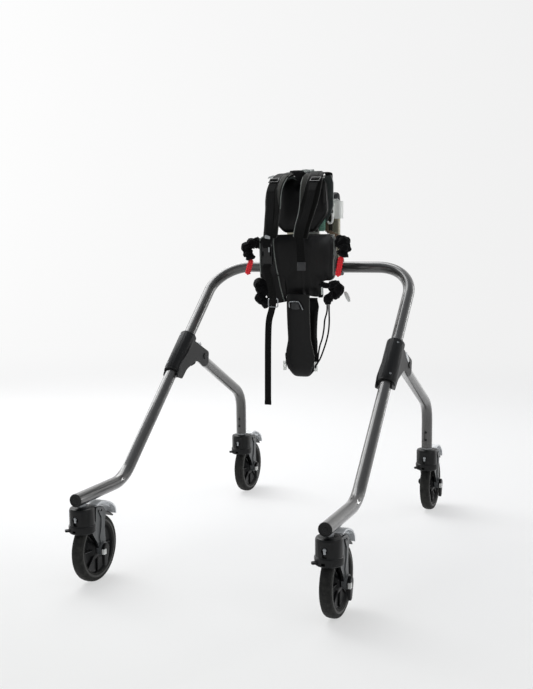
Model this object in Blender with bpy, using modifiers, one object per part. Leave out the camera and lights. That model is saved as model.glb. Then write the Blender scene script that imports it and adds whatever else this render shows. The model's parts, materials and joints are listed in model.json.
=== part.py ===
"""Gait trainer: an open tubular hoop on four braked swivel castors, with two folding rear legs and a
height-adjustable trunk unit that carries the back pad, the pelvis pad, the shoulder straps and the saddle.

Metres, +Z up. The open front faces -Y. Places below are given from the middle of the crossbar's line
on the ground; the whole object then hangs on one empty that puts the middle of its floor plan at the
origin."""

import bpy
import bmesh
from math import acos, atan2, cos, degrees, pi, radians, sin, sqrt, tan
from mathutils import Matrix, Vector

# Fits and clearances
TOUCH = 0.0003
RUNNING_FIT = 0.0005
SIDE_PLAY = 0.001

# Tube frame
TUBE_RADIUS = 0.0175
TUBE_WALL = 0.002
TUBE_FACETS = 16
BORE_FACETS = 10
CROSSBAR_HEIGHT = 0.813
CROSSBAR_HALF = 0.330
FOOT_HALF = 0.3415
FOOT_HEIGHT = 0.238
STRUT_REACH = 0.627
FOOT_REACH = 0.8585
TOP_BEND = 0.116
FOOT_BEND = 0.120
CAP_THICKNESS = 0.0026
CAP_SPIGOT = 0.018

# Frame joint: housing on the strut, clevis plates behind it, pivot pin and release lever
JOINT_X = 0.3335
HOUSING_RADIUS = 0.0265
HOUSING_TOP_REACH = 0.2266
HOUSING_LOW_REACH = 0.3387
CLEVIS_HALF_GAP = 0.0207
CLEVIS_PLATE = 0.004
PIVOT_REACH = 0.166
PIVOT_HEIGHT = 0.534
PIN_RADIUS = 0.006
PIN_HEAD_RADIUS = 0.010
PIN_HEAD = 0.0025
EYE_RADIUS = 0.0195
LEVER_START = (-0.0140, 0.0165)
LEVER_END = (-0.03688, 0.03636)
LEVER_RADIUS = 0.0068
LEVER_TRAVEL = 0.008

# Rear leg
LEG_REACH = 0.160
LEG_BEND_HEIGHT = 0.361
LEG_BEND = 0.080
LEG_END_HEIGHT = 0.2195
FOLD_ANGLE = 70.0
ADJUST_HOLE_RADIUS = 0.0042
ADJUST_HOLES = (0.247, 0.272)

# Castors
FRONT_CASTOR_REACH = 0.832
WHEEL_RADIUS = 0.090
TRAIL = 0.0536
WHEEL_HALF_WIDTH = 0.0150
WHEEL_FACETS = 24
RIM_RADIUS = 0.069
HUB_RADIUS = 0.034
HEAD_RADIUS = 0.033
HEAD_TOP = 0.2145
HEAD_LOW = 0.1675
COLLAR_RADIUS = 0.0355
COLLAR_LOW = 0.1475
ARCH_CLEARANCE = 0.0045
ARM_INNER = 0.0175
ARM_THICKNESS = 0.007
BOSS_OUTER = 0.031
BOSS_RADIUS = 0.0185
AXLE_RADIUS = 0.005
AXLE_REACH = 0.0392
SWIVEL_PIN_RADIUS = 0.008
SWIVEL_PIN_END = 0.1785
PEDAL_PIVOT = (0.050, 0.1955)
TRUNNION_RADIUS = 0.003
PEDAL_HALF_WIDTH = 0.0225
LOCK_DIRECTION = 225.0
LOCK_HALF_ANGLE = 32.0
LOCK_TRAVEL = 14.0
LOCK_INNER = 0.0268
LOCK_LOW = 0.1524
LOCK_TOP = 0.1580

# Trunk unit
POST_X = 0.077
POST_HALF_WIDTH = 0.011
POST_HALF_DEPTH = 0.008
POST_TOP = 1.012
CLAMP_HALF_LENGTH = 0.095
CLAMP_HALF_DEPTH = 0.0225
CLAMP_LOW = 0.787
CLAMP_TOP = 0.843
SLEEVE_LOW = 0.965
SLEEVE_TOP = 1.019
SLEEVE_HALF_WIDTH = 0.019
SLEEVE_HALF_DEPTH = 0.017
BEAM_FRONT = -0.030
KNOB_RADIUS = 0.0190
KNOB_THICKNESS = 0.018
KNOB_HEIGHT = 1.010
KNOB_X = 0.0665
SHELL_BACK = -0.0303
SHELL_THICKNESS = 0.006
SHELL_HALF_WIDTH = 0.084
SHELL_LIFT = 0.010
SHELL_RISE = 0.006
HOOD_HALF = 0.0185
BACK_PAD_HALF_WIDTH = 0.083
BACK_PAD_LOW = 0.922
BACK_PAD_TOP = 1.092
BACK_PAD_DEPTH = 0.050
PELVIS_HALF_WIDTH = 0.1235
PELVIS_LOW = 0.777
PELVIS_TOP = 0.907
PELVIS_PANEL_HALF_WIDTH = 0.061
PELVIS_PANEL_LOW = 0.720
PELVIS_FRONT = -0.095
PELVIS_WRAP = 0.058
PELVIS_BACK = -0.051
RIM_SHARE = 0.62
PELVIS_RIM = PELVIS_FRONT + 0.004 + (PELVIS_BACK - PELVIS_FRONT - 0.004) * RIM_SHARE
NECK_FRONT = -0.0297
YOKE_HALF = 0.100
YOKE_LOW = 0.868
YOKE_TOP = 0.916
WEBBING_WIDTH = 0.025
WEBBING_THICKNESS = 0.0024
COLLAR_HALF_WIDTH = 0.0185
STRAP_THICKNESS = 0.011
SLING_TOP = 0.733
SLING_LOW = 0.474
SLING_FRONT = -0.137
SLING_REAR = -0.098
SLING_THICKNESS = 0.012
SLEEVE_TUBE = 0.0105
CORD_RADIUS = 0.0025
CORD_TOP = 0.7027
CLIP_HALF = 0.0048
CLIP_TOP = 0.525
CLIP_FRONT = -0.1275

# Floor plan: how far the object reaches in front of and behind the crossbar, so that the origin is its middle
FRONT_EXTENT = FRONT_CASTOR_REACH + max(COLLAR_RADIUS, WHEEL_RADIUS - TRAIL)
REAR_EXTENT = LEG_REACH + TRAIL + WHEEL_RADIUS
ORIGIN_SHIFT = (FRONT_EXTENT - REAR_EXTENT) / 2

X_AXIS = Matrix(((0, 0, 1, 0), (1, 0, 0, 0), (0, 1, 0, 0), (0, 0, 0, 1)))
Y_AXIS = Matrix(((0, 1, 0, 0), (0, 0, 1, 0), (1, 0, 0, 0), (0, 0, 0, 1)))
Z_AXIS = Matrix.Identity(4)

for old in list(bpy.data.objects):
    bpy.data.objects.remove(old, do_unlink=True)

parts = bpy.data.collections.new("gait_trainer")
helpers = bpy.data.collections.new("cutters")
bpy.context.scene.collection.children.link(parts)
bpy.context.scene.collection.children.link(helpers)
helpers.hide_render = True


# Materials

def linear(channel):
    return channel / 12.92 if channel <= 0.04045 else ((channel + 0.055) / 1.055) ** 2.4


def material(name, hex_colour, roughness, metallic=0.0):
    made = bpy.data.materials.new(name)
    made.use_nodes = True
    shader = made.node_tree.nodes["Principled BSDF"]
    colour = [linear(int(hex_colour[i:i + 2], 16) / 255) for i in (0, 2, 4)]
    shader.inputs["Base Color"].default_value = (*colour, 1)
    shader.inputs["Roughness"].default_value = roughness
    shader.inputs["Metallic"].default_value = metallic
    return made


GRAPHITE = material("graphite_painted_tube", "3e4146", 0.25, 0.7)
BLACK_PLASTIC = material("black_moulded_plastic", "1b1c1e", 0.45)
GREY_PLASTIC = material("dark_grey_plastic", "4d4f52", 0.4)
LIGHT_PLASTIC = material("light_grey_plastic", "c4c6c5", 0.4)
WHITE_PLASTIC = material("white_plastic", "dfe2dc", 0.4)
STEEL = material("zinc_plated_steel", "9a9da0", 0.35, 1.0)
RUBBER = material("black_tyre_rubber", "17181a", 0.75)
VINYL = material("black_vinyl_foam", "1d1e20", 0.3)
WEBBING = material("black_webbing", "222325", 0.8)
ELASTIC = material("black_elastic", "1a1b22", 0.9)
POST_GREY = material("grey_anodised_post", "8b877c", 0.4, 0.6)


# Objects and meshes

def link(name, mesh, folder=parts, paint=None):
    obj = bpy.data.objects.new(name, mesh)
    folder.objects.link(obj)
    if paint:
        mesh.materials.clear()
        mesh.materials.append(paint)
    return obj


def tidy(mesh):
    """Welds caps to sides, merges faces that lie in one plane and turns every face outwards."""
    work = bmesh.new()
    work.from_mesh(mesh)
    bmesh.ops.remove_doubles(work, verts=work.verts, dist=0.000002)
    bmesh.ops.dissolve_degenerate(work, edges=work.edges, dist=0.000001)
    bmesh.ops.dissolve_limit(work, angle_limit=radians(0.2), verts=work.verts, edges=work.edges)
    bmesh.ops.recalc_face_normals(work, faces=work.faces)
    if work.calc_volume(signed=True) < 0:
        bmesh.ops.reverse_faces(work, faces=work.faces)
    work.to_mesh(mesh)
    work.free()
    return mesh


def bake(obj):
    """The object's evaluated mesh in its own data, with the modifiers gone."""
    mesh = bpy.data.meshes.new_from_object(obj.evaluated_get(bpy.context.evaluated_depsgraph_get()))
    obj.modifiers.clear()
    obj.data = mesh
    return obj


def from_curve(curve, matrix, name):
    holder = bpy.data.objects.new(name, curve)
    helpers.objects.link(holder)
    mesh = bpy.data.meshes.new_from_object(holder.evaluated_get(bpy.context.evaluated_depsgraph_get()))
    bpy.data.objects.remove(holder)
    mesh.transform(matrix)
    return tidy(mesh)


def plate(name, outline, low, high, axis=X_AXIS):
    """A flat outline given a thickness: on X_AXIS the outline is (y, z) and runs from x = low to x = high."""
    curve = bpy.data.curves.new(name, "CURVE")
    curve.dimensions = "2D"
    curve.fill_mode = "BOTH"
    curve.extrude = (high - low) / 2
    spline = curve.splines.new("POLY")
    spline.points.add(len(outline) - 1)
    spline.use_cyclic_u = True
    for point, (a, b) in zip(spline.points, outline):
        point.co = (a, b, 0, 1)
    mesh = from_curve(curve, axis @ Matrix.Translation((0, 0, (low + high) / 2)), name)
    return link(name, mesh, helpers)


def pipe(name, route, radius, sides=12, radii=None):
    """A round tube along the route's points, closed by caps; radii, if given, scales each point's radius."""
    curve = bpy.data.curves.new(name, "CURVE")
    curve.dimensions = "3D"
    curve.bevel_depth = radius
    curve.bevel_resolution = (sides - 4) // 2
    curve.use_fill_caps = True
    curve.twist_mode = "MINIMUM"
    spline = curve.splines.new("POLY")
    spline.points.add(len(route) - 1)
    for index, point in enumerate(route):
        spline.points[index].co = (*point, 1)
        spline.points[index].radius = radii[index] if radii else 1
    return link(name, from_curve(curve, Matrix.Identity(4), name), helpers)


def turned(name, profile, steps, axis=Z_AXIS, at=(0, 0, 0), half_step=False, ring=False):
    """A profile of (radius, height) points turned round an axis; it runs down the outer side, top to bottom."""
    mesh = bpy.data.meshes.new(name)
    edges = [(i, i + 1) for i in range(len(profile) - 1)] + ([(len(profile) - 1, 0)] if ring else [])
    mesh.from_pydata([(r, 0, z) for r, z in profile], edges, [])
    obj = link(name, mesh, helpers)
    screw = obj.modifiers.new("turn", "SCREW")
    screw.steps = steps
    screw.render_steps = steps
    screw.use_merge_vertices = True
    screw.merge_threshold = 0.00001
    bake(obj)
    turn = Matrix.Rotation(pi / steps if half_step else 0, 4, "Z")
    obj.data.transform(Matrix.Translation(at) @ axis @ turn)
    tidy(obj.data)
    return obj


def rod(name, radius, low, high, steps=16, axis=Z_AXIS, at=(0, 0, 0)):
    return turned(name, [(0, high), (radius, high), (radius, low), (0, low)], steps, axis, at)


def block(name, low, high, chamfer=0.0):
    """A box between two corners, with its edges bevelled."""
    work = bmesh.new()
    bmesh.ops.create_cube(work, size=1)
    size = Vector(high) - Vector(low)
    middle = (Vector(high) + Vector(low)) / 2
    for vertex in work.verts:
        vertex.co = Vector((vertex.co.x * size.x, vertex.co.y * size.y, vertex.co.z * size.z)) + middle
    if chamfer:
        bmesh.ops.bevel(work, geom=work.edges, offset=chamfer, segments=1, affect="EDGES")
    mesh = bpy.data.meshes.new(name)
    work.to_mesh(mesh)
    work.free()
    return link(name, mesh, helpers)


def boolean(target, operation, tools):
    for tool in tools:
        modifier = target.modifiers.new(tool.name, "BOOLEAN")
        modifier.operation = operation
        modifier.solver = "EXACT"
        modifier.object = tool
        bake(target)
        tool.display_type = "WIRE"
        tool.hide_render = True
    tidy(target.data)
    return target


def join(target, *tools):
    return boolean(target, "UNION", tools)


def cut(target, *tools):
    return boolean(target, "DIFFERENCE", tools)


def finish(obj, name, paint, at=(0, 0, 0), parent=None, crease=35):
    """Makes the object a node: its own name, material and place, with its origin at that place."""
    mesh = obj.data
    mesh.transform(Matrix.Translation(-Vector(at)))
    for holder in list(obj.users_collection):
        holder.objects.unlink(obj)
    parts.objects.link(obj)
    obj.name = name
    mesh.name = name
    mesh.materials.clear()
    mesh.materials.append(paint)
    mesh.shade_smooth()
    mesh.set_sharp_from_angle(angle=radians(crease))
    obj.display_type = "TEXTURED"
    obj.hide_render = False
    return place(obj, at, parent)


def place(obj, at, parent=None):
    """Puts the origin at a place given from the crossbar's foot, under its parent."""
    carrier = parent or root
    obj.parent = carrier
    obj.location = Vector(at) - Vector(carrier.get("place", (0, 0, 0)))
    obj["place"] = tuple(at)
    return obj


# Lines and outlines

def arc(centre, radius, start, end, count):
    """Points on an arc, by angles in degrees."""
    angles = [radians(start + (end - start) * i / count) for i in range(count + 1)]
    return [(centre[0] + radius * cos(a), centre[1] + radius * sin(a)) for a in angles]


def filleted(points, radii, step=18.0, closed=False):
    """A line through the points whose corners are arcs of the given radii; works in two or three dimensions."""
    size = len(points[0])
    line = [Vector((*p, 0)) if size == 2 else Vector(p) for p in points]
    out = []
    for i, corner in enumerate(line):
        radius = radii[i]
        if not radius or (not closed and i in (0, len(line) - 1)):
            out.append(corner)
            continue
        before = (line[i - 1] - corner).normalized()
        after = (line[(i + 1) % len(line)] - corner).normalized()
        half = acos(max(-1, min(1, before.dot(after)))) / 2
        middle = corner + (before + after).normalized() * radius / sin(half)
        start = corner + before * radius / tan(half) - middle
        end = corner + after * radius / tan(half) - middle
        sweep = pi - 2 * half
        count = max(2, round(degrees(sweep) / step))
        for k in range(count + 1):
            t = k / count
            out.append(middle + (start * sin((1 - t) * sweep) + end * sin(t * sweep)) / sin(sweep))
    return [tuple(v[:size]) for v in out]


def smooth(points, count):
    """Evenly numbered points on a smooth curve through the given ones."""
    line = [Vector(p) for p in points]
    line = [2 * line[0] - line[1]] + line + [2 * line[-1] - line[-2]]
    spans = len(line) - 3
    out = []
    for k in range(count):
        u = k * spans / (count - 1)
        i = min(int(u), spans - 1)
        t = u - i
        a, b, c, d = line[i:i + 4]
        out.append(0.5 * (2 * b + (c - a) * t + (2 * a - 5 * b + 4 * c - d) * t * t
                          + (3 * b - a - 3 * c + d) * t ** 3))
    return out


def loft(name, rings):
    """A closed body through rings of equally many points, capped at both ends."""
    count = len(rings[0])
    verts = [tuple(v) for ring in rings for v in ring]
    faces = []
    for r in range(len(rings) - 1):
        for i in range(count):
            j = (i + 1) % count
            faces.append((r * count + i, r * count + j, (r + 1) * count + j, (r + 1) * count + i))
    last = (len(rings) - 1) * count
    faces.append(tuple(range(count))[::-1])
    faces.append(tuple(last + i for i in range(count)))
    mesh = bpy.data.meshes.new(name)
    mesh.from_pydata(verts, [], faces)
    return link(name, tidy(mesh), helpers)


def band(name, route, half_widths, thickness, across=(1, 0, 0), edge=0.3):
    """Webbing or a padded strap: a flat section, thinner at its edges when edge is low, along a route."""
    rings = []
    for i, point in enumerate(route):
        ahead = (route[min(i + 1, len(route) - 1)] - route[max(i - 1, 0)]).normalized()
        side = Vector(across[i] if isinstance(across, list) else across)
        side = (side - ahead * side.dot(ahead)).normalized()
        face = ahead.cross(side)
        half = half_widths[i] if isinstance(half_widths, list) else half_widths
        thin = thickness[i] if isinstance(thickness, list) else thickness
        section = [(half, -thin / 2), (half, thin / 2), (-half, thin / 2), (-half, -thin / 2)]
        if edge < 0.8:
            inner = half - thin * 0.5
            section = [(half, -thin * edge / 2), (half, thin * edge / 2), (inner, thin / 2),
                       (-inner, thin / 2),
                       (-half, thin * edge / 2), (-half, -thin * edge / 2), (-inner, -thin / 2),
                       (inner, -thin / 2)]
        rings.append([point + side * u + face * v for u, v in section])
    return loft(name, rings)


def cushion(name, outline, front, back, crown, wrap=None, rings=4):
    """A pad over an (x, z) outline: its front crowns and rolls back to a drawn-in rim, its back is flatter."""
    count = len(outline)
    centre = Vector((sum(p[0] for p in outline) / count, 0, sum(p[1] for p in outline) / count))
    rim_depth = front + (back - front) * RIM_SHARE
    layers = []
    for k in range(rings + 1):
        t = k / rings
        layers.append((0.30 + 0.70 * sin(t * pi / 2),
                       rim_depth + (front - rim_depth) * cos(t * pi / 2) ** 0.75))
    layers = [(0.0, front)] + layers
    layers += [(0.985, rim_depth + (back - rim_depth) * 0.6), (0.93, back), (0.45, back), (0.0, back)]
    verts, faces = [], []
    for scale, depth in layers:
        for x, z in outline:
            px, pz = centre.x + (x - centre.x) * scale, centre.z + (z - centre.z) * scale
            bulge = crown * (1 - scale ** 2) if depth < rim_depth else 0
            verts.append((px, depth - bulge + (wrap(px) if wrap else 0), pz))
    for r in range(len(layers) - 1):
        for i in range(count):
            j = (i + 1) % count
            faces.append((r * count + i, r * count + j, (r + 1) * count + j, (r + 1) * count + i))
    mesh = bpy.data.meshes.new(name)
    mesh.from_pydata(verts, [], faces)
    return link(name, tidy(mesh), helpers)


def mirrored(obj, name):
    """The piece on the other side of the plane x = 0."""
    mesh = obj.data.copy()
    mesh.transform(Matrix.Scale(-1, 4, (1, 0, 0)))
    mesh.flip_normals()
    return link(name, tidy(mesh), helpers)


root = bpy.data.objects.new("gait_trainer_origin", None)
parts.objects.link(root)
root.location = (0, ORIGIN_SHIFT, 0)
root["place"] = (0, 0, 0)

# Lines that several pieces share
TOP_CORNER = Vector((CROSSBAR_HALF, 0, CROSSBAR_HEIGHT))
FOOT_CORNER = Vector((FOOT_HALF, -STRUT_REACH, FOOT_HEIGHT))
STRUT = (FOOT_CORNER - TOP_CORNER).normalized()
CASTOR_X = FOOT_HALF
PIVOT = (JOINT_X, -PIVOT_REACH, PIVOT_HEIGHT)
LEG_LINE = Vector((0, LEG_REACH + PIVOT_REACH, LEG_BEND_HEIGHT - PIVOT_HEIGHT)).normalized()
CLEVIS_OUTER = CLEVIS_HALF_GAP + CLEVIS_PLATE


def on_strut(reach):
    return TOP_CORNER + STRUT * (reach / -STRUT.y)


# Tube frame

def hoop_route():
    half = [(FOOT_HALF, -FOOT_REACH, FOOT_HEIGHT), tuple(FOOT_CORNER), tuple(TOP_CORNER),
            (0, 0, CROSSBAR_HEIGHT)]
    right = filleted(half, [0, FOOT_BEND, TOP_BEND, 0], step=15)
    left = [(-x, y, z) for x, y, z in reversed(right[:-1])]
    return right[:-1] + left


def make_hoop():
    route = hoop_route()
    hoop = pipe("hoop_tube", route, TUBE_RADIUS, TUBE_FACETS)
    inner = [(x, y - (0.002 if i in (0, len(route) - 1) else 0), z) for i, (x, y, z) in enumerate(route)]
    cut(hoop, pipe("hoop_bore", inner, TUBE_RADIUS - TUBE_WALL, BORE_FACETS))
    for side in (1, -1):
        hole = rod("stem_hole", 0.0066, FOOT_HEIGHT - TUBE_RADIUS - 0.004, FOOT_HEIGHT - 0.006, 12,
                   at=(side * CASTOR_X, -FRONT_CASTOR_REACH, 0))
        cut(hoop, hole)
    return finish(hoop, "hoop_tube", GRAPHITE)


def make_end_caps():
    """A moulded plug in each open tube end: a ribbed face with a spigot in the bore."""
    bore = TUBE_RADIUS - TUBE_WALL
    for side, hand in ((1, "right"), (-1, "left")):
        face = FOOT_REACH + TOUCH
        low = face + CAP_THICKNESS - 0.0012
        high = face + CAP_THICKNESS
        spigot = bore * cos(pi / BORE_FACETS) - TOUCH
        profile = [(0, high), (0.0060, high), (0.0066, low), (TUBE_RADIUS - 0.0040, low),
                   (TUBE_RADIUS - 0.0035, high), (TUBE_RADIUS - 0.0008, high),
                   (TUBE_RADIUS, high - 0.0008), (TUBE_RADIUS, face), (spigot, face),
                   (spigot, face - CAP_SPIGOT),
                   (spigot - 0.003, face - CAP_SPIGOT), (spigot - 0.003, face - 0.003), (0, face - 0.003)]
        profile = [(r, -h) for r, h in profile][::-1]
        cap = turned(f"cap_{hand}", profile, TUBE_FACETS, Y_AXIS, (side * FOOT_HALF, 0, FOOT_HEIGHT))
        finish(cap, f"tube_end_cap_{hand}", BLACK_PLASTIC, (side * FOOT_HALF, -FOOT_REACH, FOOT_HEIGHT))


# Frame joints

def wing_outline():
    """Side view of the clevis plates, in (y, z): top edge, blunt tail, pivot lobe, arch and lower tongue."""
    lobe = [(0.0285, 0.0110, 0.009), (0.0235, -0.0280, 0.010), (-0.0090, -0.0340, 0.014),
            (-0.0520, -0.0050, 0.040)]
    lobe = [(y - PIVOT_REACH, z + PIVOT_HEIGHT, r) for y, z, r in lobe]
    strut = [(0.2360, -0.0060, 0), (0.2900, -0.0390, 0.030), (0.3230, -0.0338, 0.006),
             (0.3560, 0.0065, 0.006), (0.3350, 0.0182, 0)]
    strut = [(-reach, on_strut(reach).z + lift, r) for reach, lift, r in strut]
    corners = strut[:1] + lobe + strut[1:]
    return filleted([c[:2] for c in corners], [c[2] for c in corners], step=30, closed=True)


def lever_line():
    pivot = Vector((0, -PIVOT_REACH, PIVOT_HEIGHT))
    start, end = pivot + Vector((0, *LEVER_START)), pivot + Vector((0, *LEVER_END))
    return start, end, (end - start).normalized()


def capsule(start, end, radius, count=5):
    """The outline of a slot with round ends, in (y, z)."""
    turn = degrees(atan2(end[1] - start[1], end[0] - start[0]))
    return arc(end, radius, turn - 90, turn + 90, count) + arc(start, radius, turn + 90, turn + 270, count)


def make_joint(side, hand):
    """Housing halves clamped round the strut, with the clevis plates, the pivot pin and the release lever."""
    top, low = on_strut(HOUSING_TOP_REACH), on_strut(HOUSING_LOW_REACH)
    length = (low - top).length
    frame = Matrix.Translation(low) @ (top - low).to_track_quat("Z", "Y").to_matrix().to_4x4()
    outer = [(0, length), (HOUSING_RADIUS - 0.003, length), (HOUSING_RADIUS, length - 0.004),
             (HOUSING_RADIUS, 0.010), (HOUSING_RADIUS - 0.0012, 0.008), (HOUSING_RADIUS - 0.0012, 0.001),
             (HOUSING_RADIUS - 0.0022, 0), (0, 0)]
    body = turned("housing", outer, 20, frame)
    for sign in (1, -1):
        near, far = sorted((JOINT_X + sign * CLEVIS_HALF_GAP, JOINT_X + sign * CLEVIS_OUTER))
        join(body, plate("wing", wing_outline(), near, far))
    start, end, along = lever_line()
    pivot = Vector((0, -PIVOT_REACH, PIVOT_HEIGHT))
    web_low = pivot + Vector((0, -LEG_LINE.z, LEG_LINE.y)) * (TUBE_RADIUS + 0.0006)
    web_a, web_b = web_low + LEG_LINE * 0.0115, web_low + LEG_LINE * 0.0265
    web = [(web_a.y, web_a.z), (web_b.y, web_b.z), (pivot.y + 0.0260, pivot.z + 0.0130),
           (pivot.y + 0.0125, pivot.z + 0.0205)]
    join(body, plate("web", web, JOINT_X - CLEVIS_HALF_GAP - 0.001, JOINT_X + CLEVIS_HALF_GAP + 0.001))
    window_end = end + along * LEVER_TRAVEL
    window = capsule((start.y, start.z), (window_end.y, window_end.z), LEVER_RADIUS + 0.0004)
    cut(body, plate("window", window, JOINT_X + CLEVIS_HALF_GAP - 0.002, JOINT_X + CLEVIS_OUTER + 0.002))
    cut(body, pipe("strut_bore", [low - (top - low) * 0.5, top + (top - low) * 0.5],
                   (TUBE_RADIUS + TOUCH) / cos(pi / TUBE_FACETS), TUBE_FACETS))
    cut(body, rod("pin_hole", PIN_RADIUS + TOUCH, JOINT_X - 0.04, JOINT_X + 0.04, 16, X_AXIS,
                  (0, *PIVOT[1:])))
    for name, low_x, high_x in (("outer", 0.2, JOINT_X + TOUCH / 2), ("inner", JOINT_X - TOUCH / 2, 0.5)):
        half = link(f"half_{name}", body.data.copy(), helpers)
        cut(half, block("split", (low_x, -0.6, 0.3), (high_x, 0.1, 0.8)))
        if side < 0:
            half = mirrored(half, "half")
        finish(half, f"joint_housing_{name}_{hand}", BLACK_PLASTIC,
               (side * JOINT_X, *PIVOT[1:]), crease=40)
    pin_reach = CLEVIS_OUTER + TOUCH
    pin = turned("pin", [(0, pin_reach + PIN_HEAD), (PIN_HEAD_RADIUS - 0.001, pin_reach + PIN_HEAD),
                         (PIN_HEAD_RADIUS, pin_reach + PIN_HEAD - 0.001), (PIN_HEAD_RADIUS, pin_reach),
                         (PIN_RADIUS, pin_reach), (PIN_RADIUS, -pin_reach), (PIN_HEAD_RADIUS, -pin_reach),
                         (PIN_HEAD_RADIUS, 0.001 - pin_reach - PIN_HEAD),
                         (PIN_HEAD_RADIUS - 0.001, -pin_reach - PIN_HEAD),
                         (0, -pin_reach - PIN_HEAD)], 16, X_AXIS, PIVOT)
    lever = make_lever(start, end, along)
    if side < 0:
        pin, lever = mirrored(pin, "pin"), mirrored(lever, "lever")
    finish(pin, f"leg_pivot_pin_{hand}", STEEL, (side * JOINT_X, *PIVOT[1:]))
    finish(lever, f"release_lever_{hand}", LIGHT_PLASTIC, (side * JOINT_X, start.y, start.z))


def make_lever(start, end, along):
    """A sliding catch between the clevis plates: its boss shows in the window, its tab above the top edge."""
    half = CLEVIS_HALF_GAP - SIDE_PLAY
    lever = plate("lever", capsule((start.y, start.z), (end.y, end.z), LEVER_RADIUS), JOINT_X - half,
                  JOINT_X + half)
    boss = capsule((start.y, start.z), (end.y, end.z), LEVER_RADIUS - 0.0008)
    join(lever, plate("boss", boss, JOINT_X + half - 0.002, JOINT_X + CLEVIS_OUTER + 0.0012))
    upward = Vector((0, -along.z, along.y)) * -1
    foot = start + (end - start) * 0.25
    tab = [foot - along * 0.007, foot + along * 0.007, foot + along * 0.007 + upward * 0.0275,
           foot - along * 0.007 + upward * 0.0275]
    tab_outline = filleted([(p.y, p.z) for p in tab], [0, 0, 0.004, 0.004], step=30, closed=True)
    join(lever, plate("tab", tab_outline, JOINT_X - 0.012, JOINT_X + 0.012))
    return lever


# Rear legs

def make_leg(side, hand):
    x = JOINT_X
    route = filleted([PIVOT, (x, LEG_REACH, LEG_BEND_HEIGHT), (x, LEG_REACH, LEG_END_HEIGHT)],
                     [0, LEG_BEND, 0], step=15)
    leg = pipe("leg", route, TUBE_RADIUS, TUBE_FACETS)
    inner = [route[0]] + route[1:-1] + [(x, LEG_REACH, LEG_END_HEIGHT - 0.002)]
    inner[0] = tuple(Vector(PIVOT) + LEG_LINE * (EYE_RADIUS + 0.006))
    cut(leg, pipe("leg_bore", inner, TUBE_RADIUS - TUBE_WALL, BORE_FACETS))
    eye_half = CLEVIS_HALF_GAP - TOUCH
    eye = rod("eye", EYE_RADIUS, x - eye_half, x + eye_half, 24, X_AXIS, (0, *PIVOT[1:]))
    join(leg, eye)
    nose = Vector(LEVER_START)
    facing = degrees(atan2(nose.y, nose.x))
    spread = degrees(atan2(LEVER_RADIUS + RUNNING_FIT, nose.length)) + 3
    low, high = facing - spread, facing + spread + FOLD_ANGLE
    relief = arc((-PIVOT_REACH, PIVOT_HEIGHT), nose.length - LEVER_RADIUS - RUNNING_FIT, low, high, 5)
    relief += arc((-PIVOT_REACH, PIVOT_HEIGHT), 0.035, high, low, 4)
    cut(leg, plate("relief", relief, x - 0.03, x + 0.03))
    cut(leg, rod("eye_hole", PIN_RADIUS + TOUCH, x - 0.03, x + 0.03, 16, X_AXIS, (0, *PIVOT[1:])))
    for height in ADJUST_HOLES:
        cut(leg, rod("adjust_hole", ADJUST_HOLE_RADIUS, LEG_REACH - TUBE_RADIUS - 0.002, LEG_REACH - 0.006,
                     12, Y_AXIS, (x, 0, height)))
    if side < 0:
        leg = mirrored(leg, "leg")
    return finish(leg, f"rear_leg_{hand}", GRAPHITE, (side * JOINT_X, *PIVOT[1:]))


# Castors, each piece made once about the swivel axis and then copied to the four corners

def arm_outline():
    corners = [(0.000, 0.1700, 0), (0.004, 0.1500, 0.004), (0.0325, 0.1090, 0.012), (0.0400, 0.0830, 0.010),
               (0.0670, 0.0810, 0.010), (0.0715, 0.1080, 0.020), (0.0685, 0.1400, 0.040),
               (0.0720, 0.1680, 0.020),
               (0.0775, 0.1850, 0.005), (0.0620, 0.2035, 0.006), (0.0290, 0.2070, 0.004), (0.0262, 0.1700, 0)]
    return filleted([c[:2] for c in corners], [c[2] for c in corners], step=40, closed=True)


def ridge_outline():
    """The raised moulding down the outside of each fork arm."""
    corners = [(0.036, 0.1985, 0.003), (0.0590, 0.1965, 0.006), (0.0690, 0.1835, 0.004), (0.0620, 0.1600, 0),
               (0.0600, 0.1350, 0), (0.0630, 0.1040, 0), (0.0450, 0.1040, 0), (0.0400, 0.1240, 0),
               (0.0480, 0.1500, 0), (0.0500, 0.1750, 0)]
    return filleted([c[:2] for c in corners], [c[2] for c in corners], step=45, closed=True)


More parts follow.
